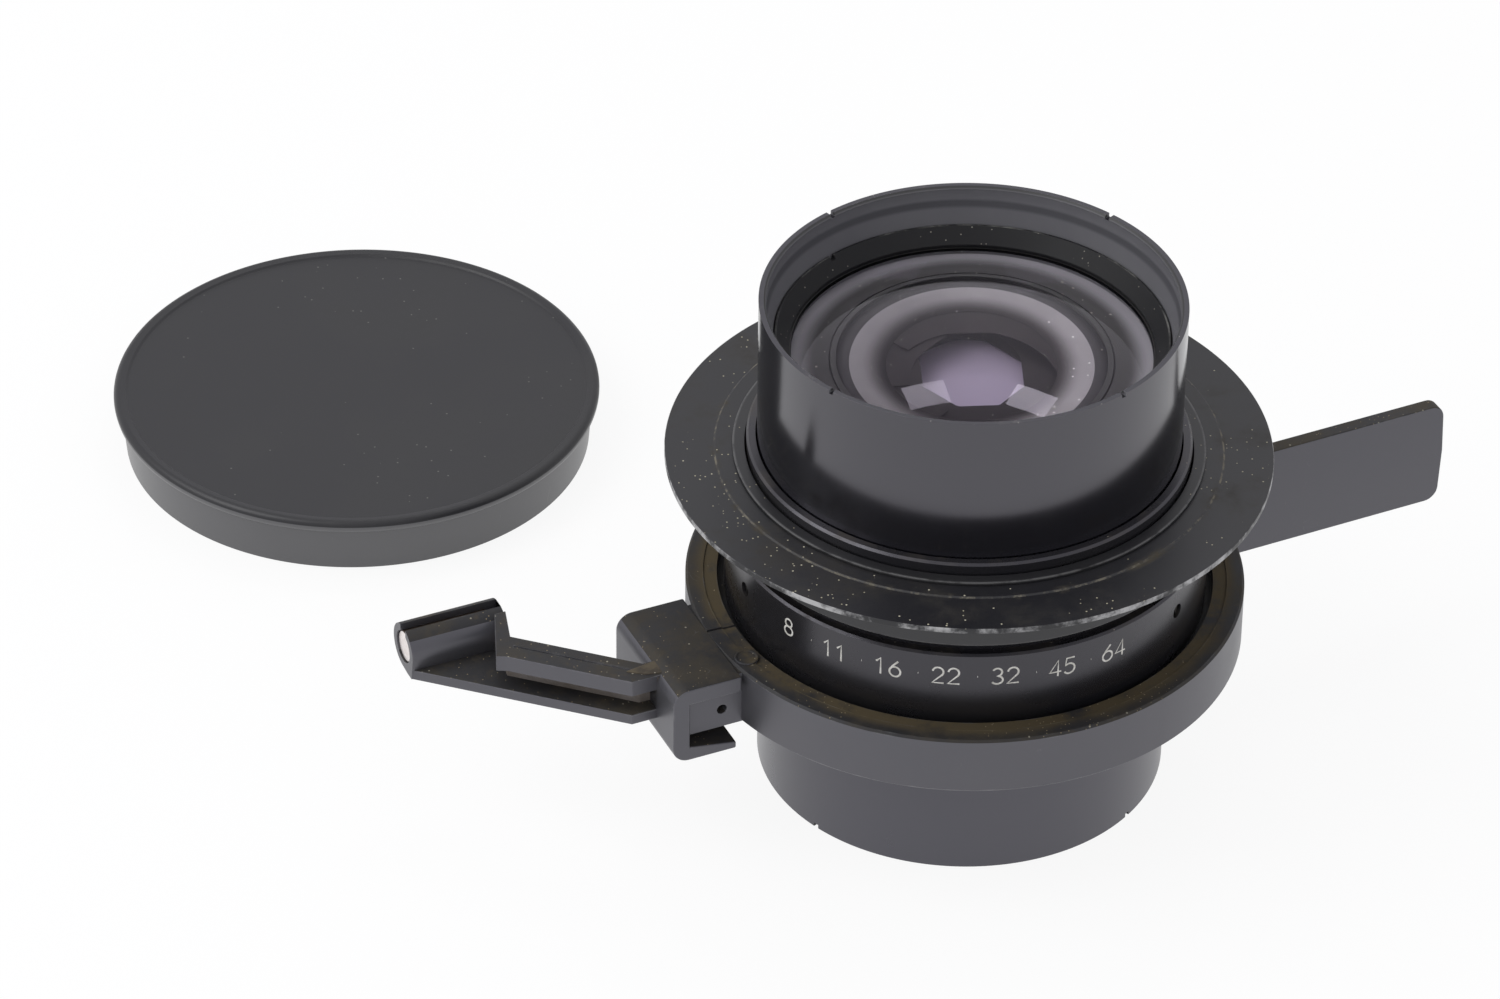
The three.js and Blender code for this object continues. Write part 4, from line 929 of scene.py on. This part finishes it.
# Handle: a flat drafted blade of the same moulding that stands out from the ring's side. It is
# thickest along its middle line and rounded at its outer corners.
HANDLE_TURN = 28
HANDLE_SHIFT = 6.7
HANDLE_LOW = 26.2
HANDLE_HIGH = 52.2
HANDLE_ROOT = 58.1
HANDLE_END = 123.7
HANDLE_ROUND = 3.2
HANDLE_MIDDLE = 2.5
HANDLE_EDGE = 1.7
HANDLE_RIDGE_RISE = 0.95
end = HANDLE_END - HANDLE_ROUND
side_view = [(HANDLE_ROOT, HANDLE_LOW),
             *arc(end, HANDLE_LOW + HANDLE_ROUND, HANDLE_ROUND, HANDLE_ROUND, -90, 0, 8),
             *arc(end, HANDLE_HIGH - HANDLE_ROUND, HANDLE_ROUND, HANDLE_ROUND, 0, 90, 8),
             (HANDLE_ROOT, HANDLE_HIGH)]
bm = bmesh.new()
bm.from_mesh(prism(side_view, -1, 1, upright=True))
middle_height = (HANDLE_LOW + HANDLE_HIGH) / 2 + HANDLE_RIDGE_RISE
bmesh.ops.bisect_plane(bm, geom=bm.verts[:] + bm.edges[:] + bm.faces[:],
                       plane_co=(0, 0, middle_height * MM), plane_no=(0, 0, 1))
for corner in bm.verts:
    share = abs(corner.co.z / MM - middle_height) / (HANDLE_HIGH - middle_height)
    half = HANDLE_MIDDLE + (HANDLE_EDGE - HANDLE_MIDDLE) * min(share, 1)
    corner.co.y = copysign(half * MM, corner.co.y) + HANDLE_SHIFT * MM
moulded_piece("lever_handle", mesh_from(bm), 0.35, HANDLE_TURN)

# Hooked block: a C-shaped channel of the same moulding, with a hooked foot and a drilled web
# set back inside it. Its top plate meets the lever ring at the rim.
BLOCK_TURN = 207
WEB_ROOT = 57.6
PLATE_ROOT = 60.7
BLOCK_OUTER = 76.7
BLOCK_INNER = 72.8
BLOCK_FOOT = 28.2
BLOCK_HALF = 15.6
BLOCK_ROUND = 3.7
HOOK_TIP = 61.9
WEB_HALF = 13.5
PLATE_THICK = 3.9
DRILL_RADIUS = 1.1
DRILL_DEPTH = 4
DRILL_HEIGHT = 38.0
DRILL_PLACE = -64.4
block_top = LEVER_TOP - 0.02
bend = BLOCK_OUTER - BLOCK_ROUND
channel = [(PLATE_ROOT, block_top - PLATE_THICK), (BLOCK_INNER, block_top - PLATE_THICK),
           (BLOCK_INNER, BLOCK_FOOT + 3.5), (HOOK_TIP, BLOCK_FOOT + 1.7), (HOOK_TIP, BLOCK_FOOT),
           *arc(bend, BLOCK_FOOT + BLOCK_ROUND, BLOCK_ROUND, BLOCK_ROUND, -90, 0, 10),
           *arc(bend, block_top - BLOCK_ROUND, BLOCK_ROUND, BLOCK_ROUND, 0, 90, 10),
           (PLATE_ROOT, block_top)]
moulded_piece("lever_block", prism(channel, -BLOCK_HALF, BLOCK_HALF, upright=True), 0.35,
              BLOCK_TURN)
web_mesh = combined(boxed((WEB_ROOT, 73.3), (-WEB_HALF, WEB_HALF), (LEVER_BOTTOM, 46.5)), [
    bar(DRILL_RADIUS, start, end, DRILL_HEIGHT, 90, DRILL_PLACE)
    for start, end in ((-WEB_HALF - 2, DRILL_DEPTH - WEB_HALF),
                       (WEB_HALF - DRILL_DEPTH, WEB_HALF + 2))])
moulded_piece("lever_web", web_mesh, 0.2, BLOCK_TURN)

# Arm: a channel-shaped beam of three plates that runs from the block to the rod holder, open to
# the near side, with a groove along its top and its foot carried on under the holder. A small
# stained wedge of the moulding stiffens its root on top.
ARM_TURN = -42.4
ARM_LOW = 34.4
ARM_HIGH = 45.9
ARM_WIDTH = 7.2
ARM_NEAR = 28.4
ARM_FAR = 30.3
FOOT_REACH = 50.64
FOOT_TOP = 36.9
TOP_PLATE_LOW = 42.0
WEB_THICK = 2.3
GROOVE_FROM = 3.9
GROOVE_TO = 4.4
HOLDER_START = 97.4
HOLDER_END = 119.9
HOLDER_MEET = -28.18
ROD_START = 100.0
near_start = Vector((82.5, 6.5))
near_end = near_start + along(ARM_TURN, ARM_NEAR)
far_start = near_start + along(ARM_TURN - 90, ARM_WIDTH)
far_end = far_start + along(ARM_TURN, ARM_FAR)
near_tip = near_start + along(ARM_TURN, FOOT_REACH)
web_step = along(ARM_TURN + 90, WEB_THICK)
end_wall = Vector((near_end.x + 2.2, near_end.y - 1.1))
far_side = [(BLOCK_INNER, far_start.y), far_start, far_end]
near_root = (BLOCK_INNER, near_start.y)
holder_wall = [(HOLDER_START, HOLDER_MEET), (ROD_START, HOLDER_MEET)]
top_plate = [*far_side, *holder_wall, end_wall, near_end, near_start, near_root]
back_web = [*far_side, *holder_wall, (100.55, -26.78), (99.7, -26.78), far_end + web_step,
            far_start + web_step, (BLOCK_OUTER, (far_start + web_step).y),
            (BLOCK_OUTER, near_start.y), near_root]
foot_plate = [*far_side, (HOLDER_START, -30.2), (HOLDER_END, -30.2), near_tip, near_start,
              near_root]
groove_in, groove_out = along(ARM_TURN - 90, GROOVE_FROM), along(ARM_TURN - 90, GROOVE_TO)
groove = prism([near_start + groove_in, near_end + groove_in, near_end + groove_out,
                near_start + groove_out], ARM_HIGH - 0.5, ARM_HIGH + 2)
moulded_piece("lever_arm", combined(prism(top_plate, TOP_PLATE_LOW, ARM_HIGH), [groove]), 0.2,
              BLOCK_TURN)
# Painted light: the web in the channel is a pale dusty brown, much lighter than the moulding,
# standing in for light that barely reaches the recess; the dust is real.
recess_dust_and_painted_light = surface("lever_recess_dust", (0.21, 0.19, 0.175), 0.7, [
    mottled((0.13, 0.11, 0.09), 0.75, Scale=90, Spread=0.2),
    specked((0.4, 0.36, 0.3), 0.8, Scale=900, Size=0.2, Amount=0.3)])
soften(seated("lever_arm_web", prism(back_web, ARM_LOW + 0.03, ARM_HIGH - 0.3), "lever",
              "lever_plastic", recess_dust_and_painted_light, turn=BLOCK_TURN), 0.1)
moulded_piece("lever_foot", prism(foot_plate, ARM_LOW + 0.02, FOOT_TOP), 0.2, BLOCK_TURN)
stained = surface("lever_stain", (0.045, 0.035, 0.023), 0.7, [
    mottled((0.095, 0.076, 0.048), 0.8, Scale=300, Spread=0.12),
    specked((0.35, 0.32, 0.26), 0.8, Scale=900, Size=0.2, Amount=0.4)])
gusset_mesh = prism([(74.6, far_start.y + 0.3), (82.3, far_start.y + 1.4),
                     (78.6, near_start.y - 1.2), (74.6, near_start.y - 0.3)], 45.5, 46.25)
soften(seated("lever_gusset", gusset_mesh, "lever", "lever_plastic", stained, turn=BLOCK_TURN),
       0.3)

# Rod holder and rod: a tube with a slot along its top, moulded to the arm's end, grips a short
# rod of pale nickelled steel with a ground end.
HOLDER_SIDE = -32.2
HOLDER_HEIGHT = 40.15
HOLDER_RADIUS = 5.42
ROD_BORE = 3.72
ROD_RADIUS = 3.6
ROD_END = 119.5
SLOT_HALF = 1.4
around = [Vector(point) for point in arc(HOLDER_SIDE, HOLDER_HEIGHT, HOLDER_RADIUS, HOLDER_RADIUS,
                                         0, 352.5, 47)]
around += [Vector(point) for point in ((-30.2, ARM_LOW), (-27.65, ARM_LOW),
                                       (-27.65, HOLDER_HEIGHT))]
section = [around[index] for index in convex_hull_2d(around)]
holder_mesh = prism(section, HOLDER_START, HOLDER_END, upright=True)
holder_mesh.transform(Matrix(((0, 1, 0, 0), (1, 0, 0, 0), (0, 0, 1, 0), (0, 0, 0, 1))))
holder_mesh.flip_normals()
holder_mesh = combined(holder_mesh, [
    bar(ROD_BORE, ROD_START, 122, HOLDER_HEIGHT, 0, HOLDER_SIDE),
    boxed((95, 122), (HOLDER_SIDE - SLOT_HALF, HOLDER_SIDE + SLOT_HALF), (43.17, 48))])
moulded_piece("lever_holder", holder_mesh, 0.2, BLOCK_TURN)
rod_steel = surface("rod_steel", (0.74, 0.68, 0.65), 0.34, [
    mottled((0.84, 0.79, 0.77), 0.28, Scale=500, Spread=0.12),
    specked((0.16, 0.12, 0.1), 0.7, Scale=1600, Size=0.25, Amount=0.5),
    filmed((0.07, 0.052, 0.038), 0.7, Scale=90, Cover=0.75),
], tooth_depth=0.01, Metallic=0.7)
rod = soften(seated("rod_pin", bar(ROD_RADIUS, ROD_START, ROD_END, HOLDER_HEIGHT, 0, HOLDER_SIDE),
                    "lever", "rod_metal", rod_steel, turn=BLOCK_TURN), 0.3)
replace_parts(rod, "lever_rod")

# Cap: a shallow black plastic moulding with a rolled bead round its top and a sunk flat panel.
# It lies on the table with its open side down.
BEAD_RADIUS = 1.575
BEAD_PLACE = (55.6, 12.6)
PANEL_RADIUS = 53.5
SIDE_BELOW = 0.3
cap_low, cap_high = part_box("lens_cap")
cap_plastic = surface("cap_moulding", (0.014, 0.014, 0.0165), 0.38, [
    mottled((0.017, 0.017, 0.019), 0.44, Scale=16, Spread=0.3),
    filmed((0.026, 0.026, 0.027), 0.6, Scale=30, Cover=0.38),
    specked((0.14, 0.14, 0.13), 0.8, Scale=500, Size=0.13, Amount=0.25, Groups=22),
    scuffed((0.05, 0.05, 0.05), 0.5, Scale=24, Cover=0.36, Width=0.008),
], tooth_scale=3000, tooth_depth=0.006)
# Painted light: the cap's side is a lighter, glossier copy of the black plastic, for the light it
# catches from the white floor.
cap_side = surface("cap_side", (0.045, 0.045, 0.05), 0.3, [
    mottled((0.055, 0.055, 0.06), 0.36, Scale=22, Spread=0.3),
    scuffed((0.12, 0.12, 0.12), 0.45, Scale=30, Cover=0.4, Width=0.012),
], tooth_scale=3000, tooth_depth=0.006, IOR=1.85)
cap_mesh = turned([
    (52.7, 0), (54.7, 0), (55.6, 11.0), *arc(*BEAD_PLACE, BEAD_RADIUS, BEAD_RADIUS, -60, 90, 14),
    (54.4, 13.95), (53.9, 13.5), (0, 13.5), (0, 11.5), (53.6, 11.5)], WIDE_SIDES)
cap_middle = ((cap_low.x + cap_high.x) / 2, (cap_low.y + cap_high.y) / 2, 0)
cap = soften(seated("cap_moulding", cap_mesh, "cap", "cap_plastic", cap_plastic, cap_side,
                    at=cap_middle), 0.15)
for face in cap_mesh.polygons:
    outside = face.center.xy.length > PANEL_RADIUS * MM
    face.material_index = int(outside and face.normal.z < SIDE_BELOW)
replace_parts(cap, "lens_cap")
